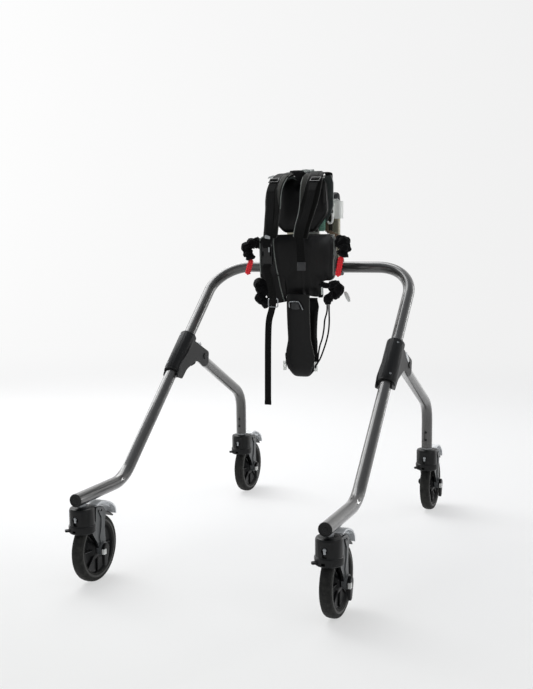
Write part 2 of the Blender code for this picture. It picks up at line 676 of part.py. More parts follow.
def make_fork():
    fork = turned("fork", [(0, HEAD_TOP), (HEAD_RADIUS - 0.006, HEAD_TOP),
                           (HEAD_RADIUS - 0.0018, HEAD_TOP - 0.0018),
                           (HEAD_RADIUS, HEAD_TOP - 0.006), (HEAD_RADIUS, HEAD_LOW + 0.0015),
                           (COLLAR_RADIUS, HEAD_LOW - 0.0010),
                           (COLLAR_RADIUS, COLLAR_LOW + 0.003), (COLLAR_RADIUS - 0.0025, COLLAR_LOW),
                           (0, COLLAR_LOW)], 18)
    arch = rod("arch", WHEEL_RADIUS + ARCH_CLEARANCE, -ARM_INNER, ARM_INNER, 24, X_AXIS,
               (0, TRAIL, WHEEL_RADIUS))
    cut(fork, arch)
    inner_radius = WHEEL_RADIUS + 0.0065
    fender = arc((TRAIL, WHEEL_RADIUS), inner_radius + 0.0035, 47, 106, 4)
    fender += arc((TRAIL, WHEEL_RADIUS), inner_radius, 106, 47, 4)
    join(fork, plate("fender", fender, -ARM_INNER - 0.0010, ARM_INNER + 0.0010))
    for sign in (1, -1):
        def span(low, high):
            return sorted((sign * low, sign * high))
        join(fork, plate("arm", arm_outline(), *span(ARM_INNER, ARM_INNER + ARM_THICKNESS)))
        join(fork, plate("ridge", ridge_outline(), *span(ARM_INNER + ARM_THICKNESS - 0.002,
                                                         ARM_INNER + ARM_THICKNESS + 0.003)))
        join(fork, rod("boss", BOSS_RADIUS, *span(ARM_INNER, BOSS_OUTER), 12, X_AXIS,
                       (0, TRAIL, WHEEL_RADIUS)))
    cut(fork, rod("axle_hole", (AXLE_RADIUS + TOUCH) / cos(pi / 8), -0.05, 0.05, 8, X_AXIS,
                  (0, TRAIL, WHEEL_RADIUS)))
    cut(fork, rod("pedal_hole", (TRUNNION_RADIUS + TOUCH) / cos(pi / 8), -0.04, 0.04, 8, X_AXIS,
                  (0, *PEDAL_PIVOT)))
    cut(fork, rod("swivel_bore", (SWIVEL_PIN_RADIUS + TOUCH) / cos(pi / 12), SWIVEL_PIN_END - RUNNING_FIT,
                  0.23, 12))
    slot = arc((0, 0.187), 0.0095, -50, 230, 6) + [(-0.005, 0.170), (0.005, 0.170)]
    cut(fork, plate("pin_slot", [(b, a) for a, b in slot], -0.040, -0.0275, Y_AXIS))
    sweep = LOCK_HALF_ANGLE + LOCK_TRAVEL + 2
    low, high = LOCK_DIRECTION - sweep, LOCK_DIRECTION + sweep
    groove = arc((0, 0), 0.05, low, high, 4) + arc((0, 0), LOCK_INNER - 0.001, high, low, 6)
    cut(fork, plate("lock_groove", groove, LOCK_LOW - TOUCH, LOCK_TOP + TOUCH, Z_AXIS))
    return fork


def make_wheel():
    """Tyre and rim moulded together: crowned tread, recessed spoked sides and a raised hub."""
    w = WHEEL_HALF_WIDTH
    top = WHEEL_RADIUS / cos(pi / WHEEL_FACETS)
    bore = AXLE_RADIUS + RUNNING_FIT
    half = [(bore, w + 0.0012), (0.0160, w + 0.0012), (HUB_RADIUS, 0.0045),
            (RIM_RADIUS - 0.002, 0.0045), (RIM_RADIUS + 0.001, w - 0.0008), (top - 0.0055, w),
            (top, w - 0.0065)]
    profile = half + [(r, -h) for r, h in reversed(half)]
    wheel = turned("wheel", profile, WHEEL_FACETS, X_AXIS, (0, TRAIL, WHEEL_RADIUS), half_step=True,
                   ring=True)
    spokes = 8
    for sign in (1, -1):
        for k in range(spokes):
            a = 2 * pi * k / spokes
            along, across = Vector((0, cos(a), sin(a))), Vector((0, -sin(a), cos(a)))
            centre = Vector((0, TRAIL, WHEEL_RADIUS))
            ends = [centre + along * 0.022 + across * 0.0016, centre + along * 0.022 - across * 0.0016,
                    centre + along * (RIM_RADIUS - 0.001) - across * 0.0016,
                    centre + along * (RIM_RADIUS - 0.001) + across * 0.0016]
            low, high = sorted((sign * 0.0035, sign * 0.0088))
            join(wheel, plate("spoke", [(p.y, p.z) for p in ends], low, high))
    return wheel


def make_axle():
    """Spindle with a dome nut on the left and the drag lever on the right."""
    face = BOSS_OUTER + TOUCH
    centre = (0, TRAIL, WHEEL_RADIUS)
    axle = turned("axle", [(0, face + 0.003), (AXLE_RADIUS, face + 0.003), (AXLE_RADIUS, -face),
                           (0.0095, -face),
                           (0.0095, 0.003 - AXLE_REACH), (0.0060, -AXLE_REACH), (0, -AXLE_REACH)], 10,
                  X_AXIS, centre)
    tip = (TRAIL - 0.0046, WHEEL_RADIUS - 0.036)
    lever = arc((TRAIL, WHEEL_RADIUS), 0.0145, -20, 200, 7) + arc(tip, 0.0085, 200, 340, 4)
    body = plate("drag_lever", lever, face, AXLE_REACH - 0.0012)
    inset = arc((TRAIL, WHEEL_RADIUS), 0.0125, -20, 200, 7) + arc(tip, 0.0065, 200, 340, 4)
    join(body, plate("drag_lever_face", inset, AXLE_REACH - 0.003, AXLE_REACH))
    return join(axle, body)


def make_pedal():
    """Ribbed foot visor over the fork, hung on trunnions between the fork's fins."""
    top = [(0.0375, 0.2120), (0.0500, 0.2155), (0.0700, 0.2150), (0.0900, 0.2095), (0.1080, 0.2010),
           (0.1220, 0.1905), (0.1300, 0.1780), (0.1315, 0.1660)]
    line = smooth([Vector((0, *p)) for p in top], 15)
    outer = []
    for i, point in enumerate(line):
        ahead = (line[min(i + 1, len(line) - 1)] - line[max(i - 1, 0)]).normalized()
        normal = Vector((0, -ahead.z, ahead.y))
        lift = 0.0010 if 3 <= i <= 11 and i % 2 else 0
        outer.append((point.y + normal.y * lift, point.z + normal.z * lift))
    inner = []
    for i, point in enumerate(line):
        ahead = (line[min(i + 1, len(line) - 1)] - line[max(i - 1, 0)]).normalized()
        inner.append((point.y + ahead.z * 0.0035, point.z - ahead.y * 0.0035))
    pedal = plate("pedal", outer + inner[::-1], -PEDAL_HALF_WIDTH, PEDAL_HALF_WIDTH)
    web = arc(PEDAL_PIVOT, 0.0045, 180, 350, 5) + [(0.0800, 0.2020), (0.1180, 0.1850), (0.1220, 0.1890),
                                                   (0.0900, 0.2080),
                                                    (0.0600, 0.2135), (0.0440, 0.2120)]
    join(pedal, plate("web", web, -0.011, 0.011))
    return join(pedal, rod("trunnion", TRUNNION_RADIUS, 0.0005 - ARM_INNER - ARM_THICKNESS,
                           ARM_INNER + ARM_THICKNESS - 0.0005, 10, X_AXIS, (0, *PEDAL_PIVOT)))


def make_swivel_lock():
    low, high = LOCK_DIRECTION - LOCK_HALF_ANGLE, LOCK_DIRECTION + LOCK_HALF_ANGLE
    sector = arc((0, 0), COLLAR_RADIUS - 0.0010, low, high, 7) + arc((0, 0), LOCK_INNER, high, low, 5)
    lock = plate("lock", sector, LOCK_LOW, LOCK_TOP, Z_AXIS)
    out = Vector((cos(radians(LOCK_DIRECTION)), sin(radians(LOCK_DIRECTION))))
    across = Vector((-out.y, out.x))
    finger = [out * 0.031 + across * 0.0070, out * 0.031 - across * 0.0070, out * 0.0455 - across * 0.0050,
              out * 0.0455 + across * 0.0050]
    outline = filleted([tuple(p) for p in finger], [0, 0, 0.003, 0.003], step=30, closed=True)
    return join(lock, plate("finger", outline, LOCK_LOW, LOCK_TOP, Z_AXIS))


def make_front_stem():
    """Kingpin, spacer and clamp nut of a front castor: the spacer's top is saddled to the tube."""
    stem = turned("stem", [(0, 0.2310), (0.0090, 0.2310), (0.0090, 0.2275), (0.0060, 0.2265),
                           (0.0060, 0.2250), (0.0120, 0.2250),
                           (0.0120, HEAD_TOP + TOUCH), (SWIVEL_PIN_RADIUS, HEAD_TOP + TOUCH),
                           (SWIVEL_PIN_RADIUS, SWIVEL_PIN_END + 0.001),
                           (SWIVEL_PIN_RADIUS - 0.001, SWIVEL_PIN_END), (0, SWIVEL_PIN_END)], 12)
    ring = pipe("saddle", [(0, -0.05, FOOT_HEIGHT), (0, 0.05, FOOT_HEIGHT)],
                (TUBE_RADIUS + TOUCH) / cos(pi / TUBE_FACETS), TUBE_FACETS)
    keep = rod("saddle_core", 0.0060, 0.19, 0.2265, 12)
    cut(ring, keep)
    nut = rod("saddle_nut", 0.0092, 0.2262, 0.24, 12)
    cut(ring, nut)
    return cut(stem, ring)


def make_rear_stem():
    """Kingpin of a rear castor: its plug slides in the leg and is held through the adjustment holes."""
    bore = (TUBE_RADIUS - TUBE_WALL) * cos(pi / BORE_FACETS) - TOUCH
    return turned("stem", [(0, 0.2900), (bore - 0.003, 0.2900), (bore, 0.2870),
                           (bore, LEG_END_HEIGHT - TOUCH), (TUBE_RADIUS, LEG_END_HEIGHT - TOUCH),
                           (TUBE_RADIUS, HEAD_TOP + TOUCH), (SWIVEL_PIN_RADIUS, HEAD_TOP + TOUCH),
                           (SWIVEL_PIN_RADIUS, SWIVEL_PIN_END + 0.001),
                           (SWIVEL_PIN_RADIUS - 0.001, SWIVEL_PIN_END), (0, SWIVEL_PIN_END)], 16)


def make_castors(legs):
    pieces = {"castor_fork": (make_fork(), BLACK_PLASTIC, (0, 0, HEAD_TOP)),
              "castor_wheel": (make_wheel(), RUBBER, (0, TRAIL, WHEEL_RADIUS)),
              "castor_axle": (make_axle(), BLACK_PLASTIC, (0, TRAIL, WHEEL_RADIUS)),
              "brake_pedal": (make_pedal(), LIGHT_PLASTIC, (0, *PEDAL_PIVOT)),
              "swivel_lock": (make_swivel_lock(), BLACK_PLASTIC, (0, 0, LOCK_LOW))}
    stems = {"front": make_front_stem(), "rear": make_rear_stem()}
    for place_name, reach in (("front", -FRONT_CASTOR_REACH), ("rear", LEG_REACH)):
        for side, hand in ((1, "right"), (-1, "left")):
            corner = Vector((side * (CASTOR_X if place_name == "front" else JOINT_X), reach, 0))
            stem = link("stem_copy", stems[place_name].data.copy(), helpers)
            stem.data.transform(Matrix.Translation(corner))
            carrier = finish(stem, f"castor_stem_{place_name}_{hand}", STEEL,
                             tuple(corner + Vector((0, 0, HEAD_TOP))),
                             legs[hand] if place_name == "rear" else None)
            for kind, (source, paint, at) in pieces.items():
                copy = link("copy", source.data.copy(), helpers)
                copy.data.transform(Matrix.Translation(corner))
                made = finish(copy, f"{kind}_{place_name}_{hand}", paint, tuple(corner + Vector(at)), carrier)
                if kind == "castor_fork":
                    carrier = made


# Trunk unit: posts, carriage and knobs

def rounded_box(half_a, half_b, radius, centre=(0, 0), step=30):
    a, b = centre
    corners = [(a - half_a, b - half_b), (a + half_a, b - half_b), (a + half_a, b + half_b),
               (a - half_a, b + half_b)]
    return filleted(corners, [radius] * 4, step=step, closed=True)


def pelvis_wrap(x):
    """How far the pelvis pad's wings come forward at a distance x from the middle."""
    return -PELVIS_WRAP * (abs(x) / 0.118) ** 2


def make_crossbar_clamp():
    """A saddle bored for the crossbar and pinched behind it, with a socket for each post."""
    middle = (CLAMP_LOW + CLAMP_TOP) / 2
    outline = rounded_box(CLAMP_HALF_DEPTH, (CLAMP_TOP - CLAMP_LOW) / 2, 0.010, (0, middle), 22)
    clamp = plate("clamp", outline, -CLAMP_HALF_LENGTH, CLAMP_HALF_LENGTH)
    cut(clamp, rod("crossbar_bore", (TUBE_RADIUS + TOUCH) / cos(pi / TUBE_FACETS), -0.2, 0.2, TUBE_FACETS,
                   X_AXIS, (0, 0, CROSSBAR_HEIGHT)))
    cut(clamp, block("pinch_slot", (-0.2, 0.010, CROSSBAR_HEIGHT - 0.0012),
                     (0.2, 0.05, CROSSBAR_HEIGHT + 0.0012)))
    for side in (1, -1):
        socket = rounded_box(POST_HALF_WIDTH + TOUCH, POST_HALF_DEPTH + TOUCH, 0.003, (side * POST_X, 0))
        cut(clamp, plate("post_socket", socket, CLAMP_TOP - 0.007, CLAMP_TOP + 0.01, Z_AXIS))
    return finish(clamp, "crossbar_clamp", BLACK_PLASTIC)


def make_posts():
    for side, hand in ((1, "right"), (-1, "left")):
        outline = rounded_box(POST_HALF_WIDTH, POST_HALF_DEPTH, 0.003, (side * POST_X, 0))
        post = plate("post", outline, CLAMP_TOP - 0.007 + TOUCH, POST_TOP, Z_AXIS)
        pitch = 0.012
        for k in range(8):
            height = SLEEVE_LOW - 0.020 - k * pitch
            notch = block("rack", (side * POST_X - 0.006, POST_HALF_DEPTH - 0.0015, height - 0.003),
                          (side * POST_X + 0.006, POST_HALF_DEPTH + 0.005, height + 0.003))
            cut(post, notch)
        finish(post, f"post_{hand}", POST_GREY, (side * POST_X, 0, CLAMP_TOP))


def make_carriage():
    """Two sleeves on the posts, a beam between them, and a spine plate that carries the pads."""
    def sleeve(side):
        outline = rounded_box(SLEEVE_HALF_WIDTH, SLEEVE_HALF_DEPTH, 0.007, (side * POST_X, 0), 22)
        return plate("sleeve", outline, SLEEVE_LOW, SLEEVE_TOP, Z_AXIS)
    carriage = sleeve(1)
    beam = block("beam", (-POST_X, BEAM_FRONT, SLEEVE_LOW + 0.004),
                 (POST_X, BEAM_FRONT + 0.020, SLEEVE_TOP - 0.006), 0.0015)
    join(carriage, beam)
    join(carriage, sleeve(-1))
    spine = rounded_box(0.048, 0.058, 0.010, (0, 0.858))
    back = PELVIS_BACK + TOUCH
    join(carriage, plate("spine", [(b, a) for a, b in spine], back, back + 0.0075, Y_AXIS))
    join(carriage, block("foot", (-0.030, back + 0.003, 0.893), (0.030, NECK_FRONT + 0.0062, 0.9155)))
    join(carriage, block("neck", (-0.030, NECK_FRONT, 0.900), (0.030, NECK_FRONT + 0.0062, 0.985)))
    across = [-YOKE_HALF + 2 * YOKE_HALF * k / 14 for k in range(15)]
    yoke = [(x, back + pelvis_wrap(x)) for x in across]
    yoke += [(x, back + pelvis_wrap(x) + 0.0050) for x in reversed(across)]
    join(carriage, plate("yoke", yoke, YOKE_LOW, YOKE_TOP, Z_AXIS))
    for side in (1, -1):
        hook_low, hook_high = sorted((side * (POST_X - POST_HALF_WIDTH - 0.0075),
                                      side * (POST_X - POST_HALF_WIDTH - 0.0013)))
        join(carriage, block("hook", (hook_low, -0.006, SLEEVE_LOW - 0.016),
                             (hook_high, 0.004, SLEEVE_LOW + 0.004), 0.001))
        bore = rounded_box(POST_HALF_WIDTH + RUNNING_FIT, POST_HALF_DEPTH + RUNNING_FIT, 0.0035,
                           (side * POST_X, 0))
        cut(carriage, plate("post_bore", bore, 0.90, 1.05, Z_AXIS))
        cut(carriage, rod("stud_hole", 0.0045, SLEEVE_HALF_DEPTH - 0.006, 0.05, 12, Y_AXIS,
                          (side * KNOB_X, 0, KNOB_HEIGHT)))
    return finish(carriage, "height_carriage", WHITE_PLASTIC)


def make_knobs(carriage):
    """Clamp knobs behind the sleeves: a fluted grip with a domed face and a threaded stud."""
    flutes = 10
    face = SLEEVE_HALF_DEPTH + 0.0012
    for side, hand in ((1, "right"), (-1, "left")):
        def ring(radius, depth, flute=0.0):
            points = []
            for k in range(flutes * 2):
                angle = pi * k / flutes
                r = radius - flute * (k % 2)
                points.append((side * KNOB_X + r * cos(angle), depth, KNOB_HEIGHT + r * sin(angle)))
            return points
        front = face + KNOB_THICKNESS
        knob = loft("knob", [ring(0.0038, SLEEVE_HALF_DEPTH - 0.0055), ring(0.0038, face),
                             ring(KNOB_RADIUS - 0.001, face, 0.0022), ring(KNOB_RADIUS, face + 0.002, 0.0022),
                             ring(KNOB_RADIUS, front - 0.005, 0.0022),
                             ring(0.0165, front - 0.0035), ring(0.0110, front - 0.0008), ring(0.0040, front)])
        finish(knob, f"clamp_knob_{hand}", GREY_PLASTIC, (side * KNOB_X, face, KNOB_HEIGHT), carriage)


# Trunk unit: shell, pads, straps and saddle

def shell_wrap(x):
    return -0.016 * (abs(x) / SHELL_HALF_WIDTH) ** 2.2


def pad_height(share):
    """A height on the back pad, from 0 at its lower edge to 1 at its top edge."""
    return BACK_PAD_LOW + (BACK_PAD_TOP - BACK_PAD_LOW) * share


def make_back_shell(carriage):
    """A curved back board whose sides come forward, with a raised lip and a carrying hood at the top."""
    half, steps = SHELL_HALF_WIDTH, 12
    low, top = BACK_PAD_LOW + SHELL_LIFT, BACK_PAD_TOP + SHELL_RISE
    def edge(z):
        t = (z - low) / (top - low)
        return half * (0.50 + 0.50 * min(1, t / 0.40) ** 0.8) * (1 - 0.10 * max(0, (t - 0.85) / 0.15) ** 2)
    rows = [low + (top - low) * k / 7 for k in range(8)]
    verts, faces = [], []
    for depth in (0, SHELL_THICKNESS):
        for z in rows:
            for k in range(steps + 1):
                x = edge(z) * (2 * k / steps - 1)
                verts.append((x, SHELL_BACK - SHELL_THICKNESS + depth + shell_wrap(x), z))
    width, layer = steps + 1, (steps + 1) * len(rows)
    for r in range(len(rows) - 1):
        for k in range(steps):
            a = r * width + k
            faces.append((a, a + 1, a + width + 1, a + width))
            faces.append((layer + a, layer + a + width, layer + a + width + 1, layer + a + 1))
    ring = [k for k in range(steps)] + [r * width + steps for r in range(len(rows) - 1)]
    ring += [(len(rows) - 1) * width + k for k in range(steps, 0, -1)] + [r * width
                                                                          for r in range(len(rows) - 1, 0,
                                                                                         -1)]
    for i, a in enumerate(ring):
        b = ring[(i + 1) % len(ring)]
        faces.append((a, layer + a, layer + b, b))
    mesh = bpy.data.meshes.new("shell")
    mesh.from_pydata(verts, [], faces)
    shell = link("shell", tidy(mesh), helpers)
    lip = [(0.0010, -0.028), (0.0010, 0.010), (0.0140, 0.020), (0.0360, 0.016), (0.0400, 0.008),
           (0.0340, 0.008), (0.0160, 0.010), (0.0055, 0.000), (0.0055, -0.028)]
    hood = filleted([(SHELL_BACK - reach, top + rise) for reach, rise in lip],
                    [0, 0.008, 0.006, 0.004, 0, 0, 0.004, 0, 0], step=30, closed=True)
    join(shell, plate("hood", hood, -HOOD_HALF, HOOD_HALF))
    return finish(shell, "back_shell", GREY_PLASTIC, (0, SHELL_BACK, low), carriage, crease=50)


def make_pads(carriage):
    """Foam pads under black vinyl: the shield-shaped back pad and the wrap-round pelvis pad."""
    shoulder = pad_height(0.353)
    corners = [(-0.030, BACK_PAD_LOW, 0.016), (0.030, BACK_PAD_LOW, 0.016),
               (BACK_PAD_HALF_WIDTH, shoulder, 0.040),
               (BACK_PAD_HALF_WIDTH - 0.005, BACK_PAD_TOP - 0.012, 0.016), (0.046, BACK_PAD_TOP, 0.010),
               (0.020, BACK_PAD_TOP - 0.010, 0.02),
               (-0.020, BACK_PAD_TOP - 0.010, 0.02), (-0.046, BACK_PAD_TOP, 0.010),
               (0.005 - BACK_PAD_HALF_WIDTH, BACK_PAD_TOP - 0.012, 0.016),
               (-BACK_PAD_HALF_WIDTH, shoulder, 0.040)]
    outline = filleted([c[:2] for c in corners], [c[2] for c in corners], step=24, closed=True)
    shell_front = SHELL_BACK - SHELL_THICKNESS - 0.0008
    pad = cushion("back", outline, shell_front - BACK_PAD_DEPTH + 0.006, shell_front, 0.006, shell_wrap,
                  rings=3)
    rise = [(-0.0680, -0.0260), (-0.0850, -0.0120), (-0.1080, 0.0020), (-0.1300, 0.0105), (-0.1440, 0.0125)]
    collar = smooth([Vector((0, y, BACK_PAD_TOP + lift)) for y, lift in rise], 7)
    join(pad, band("collar", collar, COLLAR_HALF_WIDTH, 0.0075, edge=0.5))
    finish(pad, "back_pad", VINYL, (0, shell_front, BACK_PAD_LOW), carriage, crease=60)
    w, c = PELVIS_HALF_WIDTH, PELVIS_PANEL_HALF_WIDTH
    corners = [(-c, PELVIS_PANEL_LOW, 0.012), (c, PELVIS_PANEL_LOW, 0.012),
               (c + 0.004, PELVIS_LOW - 0.006, 0.016), (w - 0.004, PELVIS_LOW, 0.020),
               (w, PELVIS_TOP, 0.024), (0.040, PELVIS_TOP + 0.004, 0.02),
               (-0.040, PELVIS_TOP + 0.004, 0.02), (-w, PELVIS_TOP, 0.024),
               (0.004 - w, PELVIS_LOW, 0.020), (-c - 0.004, PELVIS_LOW - 0.006, 0.016)]
    points = filleted([p[:2] for p in corners], [p[2] for p in corners], step=30, closed=True)
    outline = []
    for i, (x, z) in enumerate(points):
        nx, nz = points[(i + 1) % len(points)]
        parts_here = max(1, round(sqrt((nx - x) ** 2 + (nz - z) ** 2) / 0.030))
        outline += [(x + (nx - x) * k / parts_here, z + (nz - z) * k / parts_here) for k in range(parts_here)]
    pelvis = cushion("pelvis", outline, PELVIS_FRONT + 0.004, PELVIS_BACK, 0.004, pelvis_wrap, rings=3)
    finish(pelvis, "pelvis_pad", VINYL, (0, PELVIS_BACK, PELVIS_LOW), carriage, crease=60)


def raised(points):
    """Places on a shoulder strap, taken with the pad's top at 1.092: higher ones go with the pad's top."""
    foot, crest = 0.905, 1.092
    return [(x, y, z + (BACK_PAD_TOP - crest) * max(0, min(1, (z - foot) / (crest - 0.012 - foot)))) for x,
            y, z in points]


STRAP_ROUTE = raised([(0.0360, -0.0400, 1.1042), (0.0368, -0.0700, 1.1040), (0.0435, -0.1050, 1.0945),
                      (0.0515, -0.1340, 1.0830),
                      (0.0555, -0.1570, 1.0695), (0.0575, -0.1745, 1.0500), (0.0588, -0.1900, 1.0240),
                      (0.0580, -0.2040, 0.9960),
                      (0.0552, -0.2190, 0.9680), (0.0525, -0.2330, 0.9430), (0.0512, -0.2420, 0.9210),
                      (0.0505, -0.2470, 0.9050)])
STRAP_HALF_WIDTHS = [0.0165, 0.0172, 0.0230, 0.0290, 0.0300, 0.0295, 0.0275, 0.0242, 0.0225, 0.0215, 0.0215,
                     0.0213]
STRAP_TURN = 0.2
LADDER_CENTRE = Vector(raised([(0.0667, -0.1630, 1.0800)])[0])
LADDER_AHEAD = Vector((-0.0040, -0.0700, -0.0470)).normalized()
WEBBING_BACK = raised([(0.0640, -0.0340, 1.0760), (0.0641, -0.0336, 1.0950), (0.0645, -0.0362, 1.1018),
                       (0.0650, -0.0470, 1.1045), (0.0655, -0.0700, 1.1050),
                (0.0662, -0.1000, 1.1030), (0.0666, -0.1300, 1.0955)])
WEBBING_FRONT = raised([(0.0650, -0.1880, 1.0500), (0.0638, -0.2030, 1.0220), (0.0600, -0.2210, 0.9850),
                        (0.0555, -0.2380, 0.9500), (0.0515, -0.2463, 0.9230),
                 (0.0495, -0.2508, 0.9050)])
WEBBING_END = [(0.0515, -0.2530, 0.8850), (0.0530, -0.2535, 0.8600), (0.0545, -0.2520, 0.8220)]
BUCKLE_CENTRE = Vector((-0.0545, -0.2485, 0.8540))


def make_straps(carriage):
    """Padded shoulder straps that stand forward of the back pad, each ending in webbing."""
    for side, hand in ((1, "right"), (-1, "left")):
        count = 19
        spread = smooth([(w, 0.030 * k, 0) for k, w in enumerate(STRAP_HALF_WIDTHS)], count)
        route = [Vector((side * p[0], p[1], p[2])) for p in smooth(STRAP_ROUTE, count)]
        turns = [(1, side * STRAP_TURN * min(1, i / 5), 0) for i in range(count)]
        strap = band("strap", route, [w[0] for w in spread], STRAP_THICKNESS, across=turns)
        line = smooth(WEBBING_BACK, 8) + over_ladder() + smooth(WEBBING_FRONT, 8)
        if side > 0:
            line += smooth(WEBBING_FRONT[-1:] + WEBBING_END, 6)[1:]
        line = [Vector((side * p[0], p[1], p[2])) for p in line]
        if side < 0:
            line += through_slot(1)
        join(strap, band("webbing", line, WEBBING_WIDTH / 2, WEBBING_THICKNESS, edge=0.8))
        finish(strap, f"shoulder_strap_{hand}", WEBBING, tuple(route[0]), carriage)
        make_ladder_buckle(side, hand, carriage)


def ladder_frame():
    """The buckle's own directions: along the webbing, across it, and outwards."""
    across = (Vector((1, 0, 0)) - LADDER_AHEAD * LADDER_AHEAD.x).normalized()
    return LADDER_AHEAD, across, across.cross(LADDER_AHEAD)


def over_ladder():
    """Webbing through the ladder buckle: over one end bar, under the middle bar and over the other."""
    ahead, across, out = ladder_frame()
    half = [(0.0160, 0.0030), (0.0102, 0.0033), (0.0082, 0.0030), (0.0060, 0.0005), (0.0040, -0.0025)]
    path = [(-along, lift) for along, lift in half] + [(0, -0.0033)] + [(along, lift) for along,
                                                                        lift in half[::-1]]
    return [LADDER_CENTRE + ahead * along + out * lift for along, lift in path]


def through_slot(end):
    """Webbing coming over the buckle's end bar and back through its slot; end is 1 at the top, -1 below."""
    path = [(-0.0055, 0.0440), (-0.0074, 0.0375), (-0.0076, 0.0330), (-0.0076, 0.0285), (-0.0068, 0.0262),
            (-0.0048, 0.0249), (0.0010, 0.0247), (0.0052, 0.0247)]
    return [BUCKLE_CENTRE + Vector((0, y, z * end)) for y, z in path]


def make_ladder_buckle(side, hand, carriage):
    """A flat two-slot buckle at the crest of the shoulder."""
    ahead, across, out = ladder_frame()
    buckle = block("buckle", (-0.0155, -0.0120, -0.0015), (0.0155, 0.0120, 0.0015), 0.0006)
    for end in (1, -1):
        low, high = sorted((end * 0.0013, end * 0.0090))
        cut(buckle, block("slot", (-0.0129, low, -0.01), (0.0129, high, 0.01)))
    turn = Matrix((across, ahead, across.cross(ahead))).transposed().to_4x4()
    buckle.data.transform(Matrix.Translation(LADDER_CENTRE) @ turn)
    tidy(buckle.data)
    if side < 0:
        buckle = mirrored(buckle, "buckle")
    finish(buckle, f"ladder_buckle_{hand}", BLACK_PLASTIC, (side * LADDER_CENTRE.x, *LADDER_CENTRE[1:]),
           carriage)


def make_side_buckle(carriage):
    """A side-release buckle on the left strap: the socket half with its side windows, the prongs inside."""
    shell = rounded_box(0.0165, 0.0180, 0.004, (0, 0.0135))
    buckle = plate("buckle", [(b, a) for a, b in shell], -0.0055, 0.0055, Y_AXIS)
    tongue = rounded_box(0.0160, 0.0150, 0.003, (0, -0.0165))
    join(buckle, plate("tongue", [(b, a) for a, b in tongue], -0.0040, 0.0040, Y_AXIS))
    for side in (1, -1):
        cut(buckle, block("window", (side * 0.0125 - 0.0025, -0.01, -0.0010),
                          (side * 0.0125 + 0.0025, 0.01, 0.0130)))
    for z in (0.0255, -0.0255):
        cut(buckle, block("web_slot", (-0.0130, -0.01, z - 0.0022), (0.0130, 0.01, z + 0.0022)))
    buckle.data.transform(Matrix.Translation(BUCKLE_CENTRE))
    finish(buckle, "side_buckle", BLACK_PLASTIC, tuple(BUCKLE_CENTRE), carriage)


def make_hanging_strap(carriage):
    """The left strap below the buckle, through its ring and down to the loose tail."""
    loop = through_slot(-1)[::-1]
    route = [loop[-1], BUCKLE_CENTRE + Vector((0.0030, 0.001, -0.062)), (-0.0478, -0.2330, 0.7480),
             (-0.0500, -0.2200, 0.7130),
             (-0.0600, -0.2080, 0.6880), (-0.0720, -0.2010, 0.6520), (-0.0755, -0.2000, 0.5900),
             (-0.0768, -0.2000, 0.5000), (-0.0778, -0.2000, 0.3960)]
    line = loop + smooth([Vector(p) for p in route], 18)[1:]
    widths = [WEBBING_WIDTH / 2 * (1 if p.z > 0.74 else 0.86) for p in line]
    strap = band("hanging", line, widths, WEBBING_THICKNESS, edge=0.8)
    finish(strap, "hanging_strap", WEBBING, tuple(loop[0]), carriage)


def sling_half_width(z):
    """The saddle is narrow at the hips, spreads to the seat, and closes in a round end."""
    if z > 0.600:
        return 0.0370
    if z > 0.548:
        t = (0.600 - z) / 0.052
        return 0.0370 + 0.0085 * (3 - 2 * t) * t * t
    t = (0.548 - z) / (0.548 - SLING_LOW + 0.003)
    return 0.0455 * sqrt(max(0, 1 - t ** 2)) + 0.003


CLIP_X = sling_half_width(CLIP_TOP) + TOUCH + CLIP_HALF


def make_saddle(carriage):
    """A padded sling folded like a hairpin: the front panel, the round seat end and the rear panel."""
    bend = (SLING_REAR - SLING_FRONT) / 2
    middle = (SLING_FRONT + SLING_REAR) / 2 + 0.012
    low = SLING_LOW + SLING_THICKNESS / 2
    route = [(0, SLING_FRONT, SLING_TOP), (0, SLING_FRONT, 0.690), (0, SLING_FRONT + 0.004, 0.640),
             (0, SLING_FRONT + 0.010, 0.590),
             (0, SLING_FRONT + 0.013, 0.545), (0, middle - bend * 0.9, 0.510),
             (0, middle - bend * 0.5, low + 0.006), (0, middle, low),
             (0, middle + bend * 0.5, low + 0.006), (0, middle + bend * 0.9, 0.510),
             (0, SLING_REAR + 0.006, 0.560), (0, SLING_REAR + 0.006, 0.620),
             (0, SLING_REAR + 0.0150, 0.6700), (0, PELVIS_RIM - 0.0020, 0.7040),
             (0, PELVIS_RIM, PELVIS_PANEL_LOW - 0.0008)]
    line = smooth([Vector(p) for p in route], 28)
    sling = band("sling", line, [sling_half_width(p.z) for p in line], SLING_THICKNESS)
    finish(sling, "saddle_sling", VINYL, (0, SLING_FRONT, SLING_TOP), carriage, crease=50)
    for side, hand in ((1, "right"), (-1, "left")):
        middle_x = side * CLIP_X
        clip = block("clip", (middle_x - CLIP_HALF, CLIP_FRONT, 0.4950),
                     (middle_x + CLIP_HALF, CLIP_FRONT + 0.009, CLIP_TOP), 0.0012)
        cut(clip, block("eye", (middle_x - CORD_RADIUS - 0.0004, -0.2, 0.5030),
                        (middle_x + CORD_RADIUS + 0.0004, 0.0, 0.5150)))
        finish(clip, f"saddle_clip_{hand}", WHITE_PLASTIC, (middle_x, CLIP_FRONT, 0.510), carriage)


def scrunched(name, route, count, radius, ribs, sides=8):
    """An elastic tunnel gathered over a cord: its radius swells and draws in rib by rib."""
    line = smooth([Vector(p) for p in route], count)
    radii = [1 + 0.20 * sin(2 * pi * ribs * i / (count - 1)) + 0.10 * sin(pi * i / (count - 1))
             for i in range(count)]
    radii[0], radii[-1] = 0.62, 0.80
    return pipe(name, line, radius, sides, radii)


